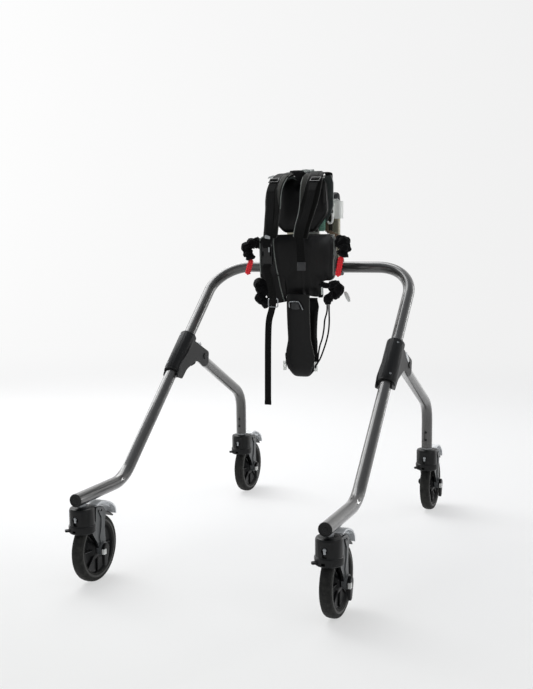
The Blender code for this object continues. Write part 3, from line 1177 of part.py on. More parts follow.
def make_elastics(carriage):
    edge = PELVIS_HALF_WIDTH - 0.00015 + TOUCH
    rim = pelvis_wrap(PELVIS_HALF_WIDTH) + PELVIS_RIM
    upper = [(edge, rim, 0.8880), (edge + 0.0080, rim - 0.0004, 0.8884), (0.1430, -0.1490, 0.8975),
             (0.1560, -0.1610, 0.8960), (0.1640, -0.1680, 0.8830),
             (0.1610, -0.1680, 0.8650), (0.1540, -0.1660, 0.8470)]
    foot = PELVIS_LOW - 0.0038 - TOUCH
    under = pelvis_wrap(0.096) + PELVIS_RIM
    lower = [(0.0960, under, foot), (0.0962, under - 0.0005, foot - 0.0070),
             (0.1030, under - 0.0130, foot - 0.0160), (0.1180, -0.1330, 0.7620),
             (0.1310, -0.1420, 0.7570), (0.1325, -0.1410, 0.7440), (0.1230, -0.1370, 0.7370),
             (0.1080, -0.1350, 0.7320), (0.0962, -0.1350, 0.7200), (0.0962, -0.1350, CORD_TOP + 2 * TOUCH)]
    for side, hand in ((1, "right"), (-1, "left")):
        for name, route, ribs in (("upper", upper, 5), ("lower", lower, 5)):
            points = [(side * x, y, z) for x, y, z in route]
            sleeve = scrunched(name, points, 20, SLEEVE_TUBE, ribs)
            finish(sleeve, f"elastic_sleeve_{name}_{hand}", ELASTIC, tuple(points[0]), carriage, crease=70)


def make_saddle_cord(carriage):
    """The adjusting cord: from the right lower sleeve down to the saddle clip, round it and up again."""
    route = [(0.0990, -0.1350, CORD_TOP), (0.0990, -0.1350, 0.6880), (0.0990, -0.1335, 0.6500),
             (0.0955, -0.1325, 0.6180), (0.0885, -0.1320, 0.5900),
             (0.0790, -0.1320, 0.5620), (0.0690, -0.1325, 0.5370), (0.0590, -0.1330, 0.5210),
             (CLIP_X + 0.0010, CLIP_FRONT - 0.0034, 0.5125),
             (CLIP_X, CLIP_FRONT + 0.0010, 0.5090), (CLIP_X, CLIP_FRONT + 0.0080, 0.5090),
             (CLIP_X + 0.0008, CLIP_FRONT + 0.0128, 0.5150),
             (0.0545, -0.1130, 0.5320), (0.0565, -0.1120, 0.5530), (0.0620, -0.1140, 0.5760),
             (0.0710, -0.1190, 0.5980), (0.0785, -0.1245, 0.6270),
             (0.0830, -0.1290, 0.6560), (0.0905, -0.1335, 0.6770), (0.0930, -0.1350, 0.6900),
             (0.0930, -0.1350, CORD_TOP)]
    line = smooth([Vector(p) for p in route], 41)
    finish(pipe("cord", line, CORD_RADIUS, 6), "saddle_cord", ELASTIC, tuple(line[0]), carriage)


# Build
make_hoop()
make_end_caps()
legs = {}
for side, hand in ((1, "right"), (-1, "left")):
    make_joint(side, hand)
    legs[hand] = make_leg(side, hand)
make_castors(legs)
make_crossbar_clamp()
make_posts()
carriage = make_carriage()
make_knobs(carriage)
make_back_shell(carriage)
make_pads(carriage)
make_straps(carriage)
make_side_buckle(carriage)
make_hanging_strap(carriage)
make_saddle(carriage)
make_elastics(carriage)
make_saddle_cord(carriage)
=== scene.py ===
import json
import math

import bmesh
import bpy
import numpy as np
from mathutils import Matrix, Vector
from mathutils.bvhtree import BVHTree

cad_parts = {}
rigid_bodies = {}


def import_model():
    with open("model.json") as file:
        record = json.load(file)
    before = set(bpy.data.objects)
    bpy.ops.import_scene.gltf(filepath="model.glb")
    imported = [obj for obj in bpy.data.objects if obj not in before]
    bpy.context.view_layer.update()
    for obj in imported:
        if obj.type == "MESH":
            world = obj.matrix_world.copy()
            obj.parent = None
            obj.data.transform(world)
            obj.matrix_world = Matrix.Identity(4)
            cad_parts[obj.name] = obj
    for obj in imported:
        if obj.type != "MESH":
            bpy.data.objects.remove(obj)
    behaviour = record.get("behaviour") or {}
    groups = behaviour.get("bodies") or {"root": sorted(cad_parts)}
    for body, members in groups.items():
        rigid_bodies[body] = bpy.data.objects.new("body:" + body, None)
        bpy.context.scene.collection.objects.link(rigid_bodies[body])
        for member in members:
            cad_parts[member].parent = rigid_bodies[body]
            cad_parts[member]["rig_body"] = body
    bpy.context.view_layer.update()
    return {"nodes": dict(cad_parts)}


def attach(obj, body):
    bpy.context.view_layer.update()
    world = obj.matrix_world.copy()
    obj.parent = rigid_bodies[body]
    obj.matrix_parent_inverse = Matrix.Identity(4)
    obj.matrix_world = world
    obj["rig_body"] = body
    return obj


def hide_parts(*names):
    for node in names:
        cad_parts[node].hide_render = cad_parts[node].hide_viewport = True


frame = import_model()
nodes = frame["nodes"]

# Places below count from the middle of the crossbar's line on the ground: x to the photo's right,
# -y to the open front, z up. The crossbar's line lies this far behind the middle of the floor plan.
shiftY = 0.2824
pi = math.pi


# Shapes

def moved(points):
    # from the crossbar's line to the frame's own middle
    out = np.array(points, float)
    out[..., 1] += shiftY
    return out


def mirrorX(points, side):
    # x as it is, or the other way for the left side
    return np.array(points, float) * (side, 1, 1)


def unit(vectors):
    # each divided by its length
    return vectors / np.maximum(np.linalg.norm(vectors, axis=-1, keepdims=True), 1e-12)


def travelled(line):
    # length along a line up to each of its points
    return np.concatenate([[0], np.cumsum(np.linalg.norm(np.diff(line, axis=0), axis=1))])


def evenly(line, count):
    # a line read off again at equal lengths
    along = travelled(line)
    return np.stack([np.interp(np.linspace(0, along[-1], count), along, line[:, k])
                     for k in range(line.shape[1])], 1)


def curveThrough(points, count):
    # Catmull-Rom: a cubic per span whose end slopes are half the chord between the neighbours,
    # then read off again at equal lengths
    p = np.asarray(points, float)
    p = np.vstack([2 * p[0] - p[1], p, 2 * p[-1] - p[-2]])
    spans = len(p) - 3
    u = np.linspace(0, spans, spans * 24 + 1)
    i = np.minimum(u.astype(int), spans - 1)
    t = (u - i)[:, None]
    a, b, c, d = p[i], p[i + 1], p[i + 2], p[i + 3]
    fine = 0.5 * (2 * b + (c - a) * t + (2 * a - 5 * b + 4 * c - d) * t ** 2
                  + (3 * b - a - 3 * c + d) * t ** 3)
    return evenly(fine, count)


def directions(line, across):
    # ahead is the line's slope, side is across made square to it, face is square to both
    ahead = unit(np.gradient(line, axis=0))
    side = np.broadcast_to(np.asarray(across, float), line.shape)
    side = unit(side - ahead * (side * ahead).sum(1, keepdims=True))
    return ahead, side, np.cross(ahead, side)


def swept(line, section, across=(1, 0, 0)):
    # a flat section (u, v) set square on every point of the line: point + side * u + face * v;
    # a section of three dimensions gives each point of the line its own
    _, side, face = directions(line, across)
    section = np.broadcast_to(section, (len(line), *section.shape[-2:]))
    return line[:, None] + side[:, None] * section[..., :1] + face[:, None] * section[..., 1:2]


def runningMean(values, reach):
    # each value becomes the mean of those up to reach places away on both sides
    count = 2 * reach + 1
    return np.convolve(np.pad(values, reach, mode="edge"), np.ones(count) / count, "valid")


def ringSection(radius, count=12):
    # a circle: r cos a, r sin a
    a = np.linspace(0, 2 * pi, count, endpoint=False)
    return np.stack([radius * np.cos(a), radius * np.sin(a)], 1)


def slabSection(half, thick, power=4.0, count=28):
    # a superellipse: |u / half| ^ power + |v / (thick / 2)| ^ power = 1
    a = np.linspace(0, 2 * pi, count, endpoint=False)
    c, s = np.cos(a), np.sin(a)
    return np.stack([half * np.sign(c) * np.abs(c) ** (2 / power),
                     thick / 2 * np.sign(s) * np.abs(s) ** (2 / power)], 1)


def bandSections(halves, thick, power=4.0, count=28):
    # the superellipse scaled to each place's own half width and thickness
    size = np.stack(np.broadcast_arrays(np.asarray(halves, float), np.asarray(thick, float) / 2), -1)
    return slabSection(1.0, 2.0, power, count)[None] * size[:, None]


def turnedProfile(profile, count, centre, axis="x"):
    # (radius, height) points carried round an axis: r cos a, r sin a, h
    a = np.linspace(0, 2 * pi, count, endpoint=False)[:, None]
    r, h = np.asarray(profile, float).T
    flat = np.stack([r * np.cos(a), r * np.sin(a), np.broadcast_to(h, (count, len(h)))], -1)
    order = {"x": [2, 0, 1], "z": [0, 1, 2]}[axis]
    return (flat[..., order] + np.asarray(centre, float)).transpose(1, 0, 2)


def closedRing(grid):
    # the profile's last point runs back to its first
    return np.concatenate([grid, grid[:1]])


def bentLine(corners, radii, step=5.0):
    # straight runs joined by arcs: each corner's arc is the circle of its radius that touches both runs
    line = [np.array(corners[0], float)]
    for before, corner, after, radius in zip(corners, corners[1:], corners[2:], radii[1:]):
        corner = np.array(corner, float)
        a, b = unit(np.array(before) - corner), unit(np.array(after) - corner)
        half = math.acos(float(a @ b)) / 2
        centre = corner + unit(a + b) * radius / math.sin(half)
        start = corner + a * radius / math.tan(half) - centre
        end = corner + b * radius / math.tan(half) - centre
        sweep = pi - 2 * half
        t = np.linspace(0, 1, max(3, round(math.degrees(sweep) / step)))[:, None]
        line.extend(centre + (start * np.sin((1 - t) * sweep) + end * np.sin(t * sweep)) / math.sin(sweep))
    return np.array([*line, np.array(corners[-1], float)])


def closedOutline(corners, radii, cell=0.004):
    # rounded corners, starting and ending half way along the side before the first of them
    corners = [np.array([x, 0, z], float) for x, z in corners]
    start = (corners[0] + corners[-1]) / 2
    line = bentLine([start, *corners, start], [0, *radii, 0])
    return evenly(line, int(travelled(line)[-1] / cell))[:-1]


unitSquare = [(0, 0), (1, 0), (1, 1), (0, 1)]


def onQuad(corners, outline):
    # (u, v) places of an outline in the unit square, spread over four corners in straight lines both ways
    c = np.array(corners, float)
    u, v = outline[:, :1], outline[:, 2:]
    return c[0] * (1 - u) * (1 - v) + c[1] * u * (1 - v) + c[2] * u * v + c[3] * (1 - u) * v


def patch(grid, wrap=True, caps=True):
    # quads between neighbouring rows and columns; uv counts metres round and along
    n, m = grid.shape[:2]
    cols = m if wrap else m - 1
    i, j = (a.ravel() for a in np.meshgrid(np.arange(n - 1), np.arange(cols), indexing="ij"))
    k = (j + 1) % m
    quads = np.stack([i * m + j, i * m + k, (i + 1) * m + k, (i + 1) * m + j], 1)
    ringed = np.concatenate([grid, grid[:, :1]], 1) if wrap else grid
    around = np.concatenate([[0], np.cumsum(np.linalg.norm(np.diff(ringed, axis=1), axis=2).max(0))])
    along = np.concatenate([[0], np.cumsum(np.linalg.norm(np.diff(grid, axis=0), axis=2).max(1))])
    uv = np.stack([around[j], along[i], around[j + 1], along[i],
                   around[j + 1], along[i + 1], around[j], along[i + 1]], 1)
    faces, uvs = quads.tolist(), [uv.reshape(-1, 2)]
    if wrap and caps:
        faces += [list(range(m))[::-1], list(range((n - 1) * m, n * m))]
        uvs.append(np.tile(np.stack([around[:m], np.zeros(m)], 1), (2, 1)))
    return grid.reshape(-1, 3), faces, np.concatenate(uvs)


def addPiece(name, patches, material, body="trunk", crease=40, closed=True):
    # patches become one mesh; doubles are merged and closed shells turned outwards
    verts, faces, uvs, start = [], [], [], 0
    for points, polygons, uv in patches:
        verts.append(points)
        faces += [[v + start for v in face] for face in polygons]
        uvs.append(uv)
        start += len(points)
    mesh = bpy.data.meshes.new(name)
    mesh.from_pydata(moved(np.concatenate(verts)).tolist(), [], faces)
    mesh.uv_layers.new(name="cloth").data.foreach_set("uv", np.concatenate(uvs).ravel())
    work = bmesh.new()
    work.from_mesh(mesh)
    bmesh.ops.remove_doubles(work, verts=work.verts, dist=0.00001)
    if closed:
        bmesh.ops.recalc_face_normals(work, faces=work.faces)
    work.to_mesh(mesh)
    work.free()
    return setUp(name, mesh, material, body, crease)


def setUp(name, mesh, material, body="trunk", crease=40):
    # a finished piece: its one material, its sharp edges and the body that it rides on
    mesh.materials.clear()
    mesh.materials.append(material)
    mesh.shade_smooth()
    mesh.set_sharp_from_angle(angle=math.radians(crease))
    obj = bpy.data.objects.new(name, mesh)
    bpy.context.scene.collection.objects.link(obj)
    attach(obj, body)
    return obj


def frontDisc(profile, count, at):
    # a turned profile whose axis points to the open front
    return patch(turnedProfile(profile, count, (0, 0, 0), "z")[..., [0, 2, 1]] * (1, -1, 1) + at, caps=False)


def tube(line, radius, count=12, across=(1, 0, 0)):
    # a circle carried along the line
    return patch(swept(line, ringSection(radius, count), across))


def ribbon(line, half, thick):
    # a flat superellipse carried along the line
    return patch(swept(line, slabSection(half, thick, 6.0, 20)))


def roundedRect(halfU, halfV, radius, perCorner=5):
    # four quarter circles of one radius, joined by straight sides
    radius = min(radius, halfU * 0.999, halfV * 0.999)
    a = np.linspace(0, pi / 2, perCorner)
    sides = []
    for k, (signU, signV) in enumerate(((1, 1), (-1, 1), (-1, -1), (1, -1))):
        turnBy = a + k * pi / 2
        sides.append(np.stack([signU * (halfU - radius) + radius * np.cos(turnBy),
                               signV * (halfV - radius) + radius * np.sin(turnBy)], 1))
    return np.concatenate(sides)


def box(low, high, bevel):
    # rounded rectangles stacked from face to face, drawn in at both ends by the bevel and closed to a point
    low, high = np.array(low, float), np.array(high, float)
    middle, half = (low + high) / 2, (high - low) / 2
    closed = -half[0]
    steps = [(-half[2], closed), (-half[2], -bevel), (bevel * 0.3 - half[2], -bevel * 0.3),
             (bevel - half[2], 0)]
    rings = []
    for level, draw in steps + [(-level, draw) for level, draw in reversed(steps)]:
        if draw == closed:
            ring = np.zeros((20, 2))
        else:
            ring = roundedRect(half[0] + draw, half[1] + draw, bevel + 0.0001)
        rings.append(np.column_stack([ring, np.full(20, level)]))
    return patch(np.array(rings) + middle, caps=False)


# Materials

def hexColour(text):
    # an sRGB hex value turned linear
    c = np.array([int(text[i:i + 2], 16) / 255 for i in (0, 2, 4)])
    c = np.where(c <= 0.04045, c / 12.92, ((c + 0.055) / 1.055) ** 2.4)
    return (*c.tolist(), 1.0)


def addNode(look, kind, settings=None, links=None):
    # one node of a material or the world, with its settings and links; gives back its outputs
    made = look.node_tree.nodes.new("ShaderNode" + kind)
    for key, value in (settings or {}).items():
        if key == "stops":
            for element, (at, colour) in zip(made.color_ramp.elements, value):
                element.position, element.color = at, hexColour(colour)
        elif isinstance(key, int) or key in made.inputs.keys():
            made.inputs[key].default_value = value
        else:
            setattr(made, key, value)
    connect(look, made, links or {})
    return made.outputs


def connect(look, node, links):
    for key, source in links.items():
        look.node_tree.links.new(source, node.inputs[key])


def finished(look, links):
    connect(look, look.node_tree.nodes["Principled BSDF"], links)
    return look


def newMaterial(name, settings, uvMap=None):
    # a shader with its plain values, and the place that patterns are read from: on the object or the strip
    look = bpy.data.materials.new(name)
    look.use_nodes = True
    for key, value in settings.items():
        look.node_tree.nodes["Principled BSDF"].inputs[key].default_value = value
    if uvMap:
        return look, {"Vector": addNode(look, "UVMap", {"uv_map": uvMap})["UV"]}
    return look, {"Vector": addNode(look, "TexCoord")["Object"]}


# A real grain, flake or thread is mostly finer than one dot of the picture, which is about 2 mm wide
# at the object. Each pattern below keeps the real one's kind and is drawn just coarse enough to show.

def perMetre(millimetres):
    # how many times a pattern of this size repeats in a metre
    return 1000.0 / millimetres


def moulded(name, colour, dark, roughness, grainMm=0.9, wear=None, gloss=0.5):
    # injection-moulded plastic: spark-eroded grain breaks its gloss, and colour drifts a little in patches;
    # the real grain is about 0.1 mm wide and is drawn at about 1 mm
    look, place = newMaterial(name, {"Roughness": roughness, "IOR": 1.5, "Specular IOR Level": gloss})
    grain = addNode(look, "TexNoise", {"Scale": perMetre(grainMm), "Detail": 2.0, "Roughness": 0.6},
                    place)["Fac"]
    drift = addNode(look, "TexNoise", {"Scale": perMetre(35), "Detail": 3.0}, place)["Fac"]
    paint = addNode(look, "ValToRGB", {"stops": [(0.3, dark), (0.72, colour)]}, {"Fac": drift})["Color"]
    if wear:
        edge = addNode(look, "NewGeometry")["Pointiness"]
        rub = addNode(look, "MapRange", {"From Min": 0.52, "From Max": 0.6}, {"Value": edge})["Result"]
        paint = addNode(look, "Mix", {"data_type": "RGBA", 7: hexColour(wear)}, {0: rub, 6: paint})[2]
    rough = addNode(look, "MapRange", {"To Min": roughness - 0.06, "To Max": roughness + 0.1},
                    {"Value": grain})
    bump = addNode(look, "Bump", {"Distance": 0.00005, "Strength": 0.6}, {"Height": grain})
    return finished(look, {"Base Color": paint, "Roughness": rough["Result"], "Normal": bump["Normal"]})


def paintedSteel(name, colour, fleck):
    # baked metallic paint under clear lacquer: fine flakes glint, and the lacquer mirrors in an orange peel;
    # real flakes are 0.05 mm and are drawn at 0.7 mm, and the peel has its real 2.5 mm
    look, place = newMaterial(name, {"Metallic": 0.35, "Roughness": 0.36, "Coat Weight": 1.0,
                                     "Coat Roughness": 0.05, "Coat IOR": 1.5})
    flakes = addNode(look, "TexVoronoi", {"Scale": perMetre(0.7)}, place)["Color"]
    tint = addNode(look, "SeparateColor", links={"Color": flakes})[0]
    paint = addNode(look, "ValToRGB", {"stops": [(0.1, colour), (0.95, fleck)]}, {"Fac": tint})["Color"]
    peel = addNode(look, "TexNoise", {"Scale": perMetre(2.5), "Detail": 1.0}, place)["Fac"]
    lacquer = addNode(look, "Bump", {"Distance": 0.00003, "Strength": 0.35}, {"Height": peel})["Normal"]
    smear = addNode(look, "TexNoise", {"Scale": perMetre(60), "Detail": 4.0}, place)["Fac"]
    rough = addNode(look, "MapRange", {"To Min": 0.3, "To Max": 0.44}, {"Value": smear})["Result"]
    return finished(look, {"Base Color": paint, "Roughness": rough, "Coat Normal": lacquer})


def zincPlated(name, dark, colour, roughness):
    # zinc plate: a bright grey metal whose bath leaves clouds of about 6 mm and a fine grain, which is
    # drawn at 0.6 mm for a real 0.1 mm
    look, place = newMaterial(name, {"Metallic": 1.0, "Roughness": roughness})
    cloud = addNode(look, "TexNoise", {"Scale": perMetre(6), "Detail": 5.0}, place)["Fac"]
    fine = addNode(look, "TexNoise", {"Scale": perMetre(0.6), "Detail": 2.0}, place)["Fac"]
    paint = addNode(look, "ValToRGB", {"stops": [(0.3, dark), (0.7, colour)]}, {"Fac": cloud})["Color"]
    rough = addNode(look, "MapRange", {"To Min": roughness - 0.08, "To Max": roughness + 0.15},
                    {"Value": cloud})
    bump = addNode(look, "Bump", {"Distance": 0.00003, "Strength": 0.4}, {"Height": fine})
    return finished(look, {"Base Color": paint, "Roughness": rough["Result"], "Normal": bump["Normal"]})


def anodised(name, colour, dark):
    # extruded aluminium, anodised: satin, with faint die lines up its length, 0.8 mm apart for a real
    # 0.2 mm
    look, place = newMaterial(name, {"Metallic": 0.7, "Roughness": 0.38})
    scale = (perMetre(0.8), perMetre(0.8), perMetre(60))
    stretch = addNode(look, "Mapping", {"Scale": scale}, place)["Vector"]
    lines = addNode(look, "TexNoise", {"Scale": 1.0, "Detail": 2.0}, {"Vector": stretch})["Fac"]
    paint = addNode(look, "ValToRGB", {"stops": [(0.3, dark), (0.7, colour)]}, {"Fac": lines})["Color"]
    rough = addNode(look, "MapRange", {"To Min": 0.32, "To Max": 0.46}, {"Value": lines})["Result"]
    bump = addNode(look, "Bump", {"Distance": 0.00003, "Strength": 0.5}, {"Height": lines})["Normal"]
    return finished(look, {"Base Color": paint, "Roughness": rough, "Normal": bump})


def tyreRubber(name, colour, worn):
    # moulded rubber: matt black that greys where it rolls, with small round blocks pressed in the tread,
    # 6.5 mm apart; its skin's grain is drawn at 0.8 mm for a real 0.2 mm
    look, place = newMaterial(name, {"Roughness": 0.7, "IOR": 1.45, "Specular IOR Level": 0.25})
    blocks = addNode(look, "TexVoronoi", {"Scale": perMetre(6.5), "Randomness": 0.55}, place)["Distance"]
    dust = addNode(look, "TexNoise", {"Scale": perMetre(14), "Detail": 6.0}, place)["Fac"]
    fine = addNode(look, "TexNoise", {"Scale": perMetre(0.8), "Detail": 2.0}, place)["Fac"]
    paint = addNode(look, "ValToRGB", {"stops": [(0.35, colour), (0.75, worn)]}, {"Fac": dust})["Color"]
    rough = addNode(look, "MapRange", {"To Min": 0.55, "To Max": 0.85}, {"Value": dust})["Result"]
    tread = addNode(look, "Bump", {"Distance": 0.0009, "Strength": 0.9}, {"Height": blocks})["Normal"]
    bump = addNode(look, "Bump", {"Distance": 0.00006, "Strength": 0.5}, {"Height": fine, "Normal": tread})
    return finished(look, {"Base Color": paint, "Roughness": rough, "Normal": bump["Normal"]})


def coatedVinyl(name, colour, dark, roughness=0.42, sheen=0.015):
    # vinyl-coated knit over foam: an embossed hide grain of small cells, semi-gloss on the crowns; the
    # cells are 1.8 mm wide for a real 1 mm, and the soft wrinkles have their real 28 mm
    look, place = newMaterial(name, {"IOR": 1.48, "Specular IOR Level": 0.22, "Sheen Weight": sheen,
                                     "Sheen Roughness": 0.4, "Coat Weight": 0.05, "Coat Roughness": 0.25})
    cells = addNode(look, "TexVoronoi", {"Scale": perMetre(1.8), "feature": "DISTANCE_TO_EDGE"},
                    place)["Distance"]
    soft = addNode(look, "TexNoise", {"Scale": perMetre(28), "Detail": 4.0}, place)["Fac"]
    paint = addNode(look, "ValToRGB", {"stops": [(0.3, dark), (0.75, colour)]}, {"Fac": soft})["Color"]
    rough = addNode(look, "MapRange", {"To Min": roughness - 0.06, "To Max": roughness + 0.1},
                    {"Value": soft})
    wrinkle = addNode(look, "Bump", {"Distance": 0.0006, "Strength": 0.35}, {"Height": soft})["Normal"]
    grain = addNode(look, "MapRange", {"To Min": 0.0, "To Max": 0.12}, {"Value": cells})["Result"]
    bump = addNode(look, "Bump", {"Distance": 0.00008, "Strength": 0.6}, {"Height": grain, "Normal": wrinkle})
    return finished(look, {"Base Color": paint, "Roughness": rough["Result"], "Normal": bump["Normal"]})


def wovenTape(name, colour, dark, ribMm=1.6):
    # woven tape: weft ribs across and warp cords along, on the strip's own lengths; dull with a faint sheen;
    # a wave repeats every 2 pi / 20 of its unit, so a rib is drawn at four times its real spacing to show
    settings = {"Roughness": 0.75, "Sheen Weight": 0.03, "Sheen Roughness": 0.5, "IOR": 1.5,
                "Specular IOR Level": 0.12}
    look, strip = newMaterial(name, settings, "cloth")
    weft = {"wave_type": "BANDS", "bands_direction": "Y", "Scale": perMetre(ribMm) / (4 * pi),
            "Distortion": 0.6, "Detail": 1.0, "Detail Scale": 2.0}
    warp = {"wave_type": "BANDS", "bands_direction": "X", "Scale": perMetre(ribMm * 0.8) / (4 * pi),
            "Distortion": 0.4}
    ribs, cords = (addNode(look, "TexWave", threads, strip)["Fac"] for threads in (weft, warp))
    weave = addNode(look, "Math", {"operation": "MULTIPLY"}, {0: ribs, 1: cords})["Value"]
    paint = addNode(look, "ValToRGB", {"stops": [(0.05, dark), (0.7, colour)]}, {"Fac": weave})["Color"]
    bump = addNode(look, "Bump", {"Distance": 0.00035, "Strength": 0.8}, {"Height": weave})["Normal"]
    return finished(look, {"Base Color": paint, "Normal": bump})


def knitElastic(name, colour, dark):
    # gathered stretch knit: soft, nearly matt, with 7 mm puckers over its folds; its loops are drawn at
    # 1.2 mm for a real 0.5 mm
    look, place = newMaterial(name, {"Roughness": 0.8, "Sheen Weight": 0.06, "Sheen Roughness": 0.4,
                                     "IOR": 1.5, "Specular IOR Level": 0.12})
    pucker = addNode(look, "TexNoise", {"Scale": perMetre(7), "Detail": 5.0, "Roughness": 0.6}, place)["Fac"]
    fine = addNode(look, "TexNoise", {"Scale": perMetre(1.2), "Detail": 2.0}, place)["Fac"]
    paint = addNode(look, "ValToRGB", {"stops": [(0.35, dark), (0.7, colour)]}, {"Fac": pucker})["Color"]
    folds = addNode(look, "Bump", {"Distance": 0.0015, "Strength": 0.7}, {"Height": pucker})["Normal"]
    bump = addNode(look, "Bump", {"Distance": 0.0002, "Strength": 0.6}, {"Height": fine, "Normal": folds})
    return finished(look, {"Base Color": paint, "Normal": bump["Normal"]})


graphiteTube = paintedSteel("baked_graphite_lacquer_on_steel", "3a3938", "4a4948")
housingBlack = moulded("spark_eroded_black_nylon", "101112", "0b0c0c", 0.42, 0.9, wear="232425", gloss=0.22)
castorBlack = moulded("moulded_black_polyamide", "0e0f10", "090a0b", 0.36, 0.8, gloss=0.25)
armGrey = moulded("moulded_grey_polyamide", "2b2c2e", "222325", 0.4, 0.8)
forkGrey = moulded("glass_filled_grey_polyamide", "5b5d5e", "4a4c4d", 0.36, 0.8)
pedalGrey = moulded("moulded_pale_grey_acetal", "e4e6e8", "d3d6d8", 0.36, 1.2, wear="f2f3f3")
shellGrey = moulded("vacuum_formed_grey_sheet", "6f7573", "5f6664", 0.35, 1.5)
blockWhite = moulded("moulded_white_acetal", "f6f7f2", "eceee8", 0.4, 1.2)
knobPale = moulded("moulded_pale_grip", "c9cbc9", "b3b5b3", 0.42, 1.0)
zincSteel = zincPlated("zinc_plated_steel", "7d8083", "a9acae", 0.3)
postAlloy = anodised("anodised_alloy_post", "a8a493", "8d897b")
# a grey ring on each sidewall: a raised band whose grey also paints the highlight it catches
sidewallBandHighlight = moulded("grey_sidewall_band_and_painted_highlight", "3b3b38", "2c2c2a", 0.45, 1.4, gloss=0.4)
tyreBlack = tyreRubber("moulded_tyre_rubber", "151514", "31312e")
padVinyl = coatedVinyl("black_vinyl_over_foam", "0d0d0e", "070708")
neckVinyl = coatedVinyl("navy_black_lining_cloth", "07080c", "040508", 0.6, 0.02)
pipingVinyl = coatedVinyl("dark_grey_welt_piping", "2c2d2b", "1e1f1d", 0.4, 0.02)
# pale grey for the welts where they catch the light: painted highlight along those edges
weltHighlight = coatedVinyl("welt_painted_highlight", "8a8e8a", "696d69", 0.4, 0.05)
strapCloth = wovenTape("charcoal_padded_strap_cloth", "11110f", "090908", 1.4)
webbingBlack = wovenTape("charcoal_nylon_webbing", "10100f", "080808", 1.8)
elasticBlack = knitElastic("gathered_black_elastic", "08080a", "030304")
facingGrey = wovenTape("grey_strap_facing", "484844", "2e2e2b", 1.4)
tealStrap = wovenTape("teal_webbing", "a9d8c4", "82b8a2", 2.2)
brownStrap = wovenTape("brown_webbing", "857560", "66584a", 1.6)
oliveStrap = wovenTape("olive_webbing", "42413a", "2c2b25", 1.8)
clearCap = moulded("translucent_grey_cap", "dfe4df", "cfd5cf", 0.3, 1.2)
pullRed = wovenTape("red_braided_pull", "ff4c50", "ee2f38", 2.2)
buckleBlack = moulded("moulded_black_acetal_buckle", "0e0f10", "090a0b", 0.25, 0.9, gloss=0.35)
markWhite = moulded("printed_white_mark", "e9e9e6", "dcdcd8", 0.5, 1.2)
print("materials made:", len(bpy.data.materials))


# Camera, floor and light. The camera comes from the photograph's own perspective.

view = {"place": (1.071, -2.6336, 0.916), "yaw": 22.984, "pitch": 6.447, "roll": -0.5375, "lens": 50.66}


def makeCamera():
    # back = (sin yaw cos pitch, -cos yaw cos pitch, sin pitch), then right and up rolled about it
    yaw, pitch, roll = (math.radians(view[k]) for k in ("yaw", "pitch", "roll"))
    back = Vector((math.sin(yaw) * math.cos(pitch), -math.cos(yaw) * math.cos(pitch), math.sin(pitch)))
    right = Vector((math.cos(yaw), math.sin(yaw), 0))
    up = back.cross(right)
    c, s = math.cos(roll), math.sin(roll)
    right, up = c * right + s * up, c * up - s * right
    camera = bpy.data.objects.new("camera", bpy.data.cameras.new("camera"))
    bpy.context.scene.collection.objects.link(camera)
    camera.data.lens = view["lens"]
    camera.data.clip_start, camera.data.clip_end = 0.05, 60
    turn = Matrix((right, up, back)).transposed().to_4x4()
    camera.matrix_world = Matrix.Translation(view["place"]) @ turn
    bpy.context.scene.camera = camera


makeCamera()
bpy.context.scene.view_settings.view_transform = "Standard"

stage = {"paper": {"half": 12.0, "front": -9.0, "bendAt": 4.0, "bendRadius": 3.0, "rise": 12.0},
         # tones from left to right, and where each ramp starts and ends: x for those two, y for the others;
         # the ramps and the darker near tone are painted light, lighter on the left and behind, darker on the
         # right and in front
         "floorTones": ("fbfbfb", "f1f1f1"), "floorSpan": (-1.3, 1.0), "wallTones": ("fdfdfd", "f1f1f1"),
         "wallSpan": (-6.3, -0.2), "wallFrom": (0.5, 5.0), "near": "f0f0ef", "nearSpan": (-1.0, 0.1),
         "shadowShare": 0.38, "shadowReach": (0.7, 5.5),
         "skyStrength": 0.5, "skyTint": "e9edf2", "skyPale": "eeeeed", "darkSide": (-0.7, 0.62, 0.35),
         "skyShares": (0.55, 1.5), "paleBand": (0.14, 0.42)}
lamps = {"softbox_top": {"at": (-1.7, 1.1, 3.3), "towards": (0, 0, 0.5), "size": (3.0, 3.0), "watts": 112},
         "softbox_left": {"at": (-3.1, 0.9, 1.4), "towards": (0, 0, 0.6), "size": (0.9, 2.6), "watts": 24},
         "strip_right": {"at": (2.1, 2.5, 1.3), "towards": (0, 0, 0.7), "size": (0.22, 2.2), "watts": 14},
         "softbox_right": {"at": (2.9, -0.9, 1.7), "towards": (0, 0, 0.8), "size": (0.7, 1.4), "watts": 9}}


def seenDirectly(look):
    # 1 for camera, mirror and glass rays, which see the pale paper; 0 for light that reaches the object
    path = addNode(look, "LightPath")
    highest = path["Is Camera Ray"]
    for kind in ("Is Glossy Ray", "Is Transmission Ray"):
        highest = addNode(look, "Math", {"operation": "MAXIMUM"}, {0: highest, 1: path[kind]})["Value"]
    return highest


def fromSpan(span):
    # settings that give 0 at the span's start and 1 at its end
    return {"From Min": span[0], "From Max": span[1]}


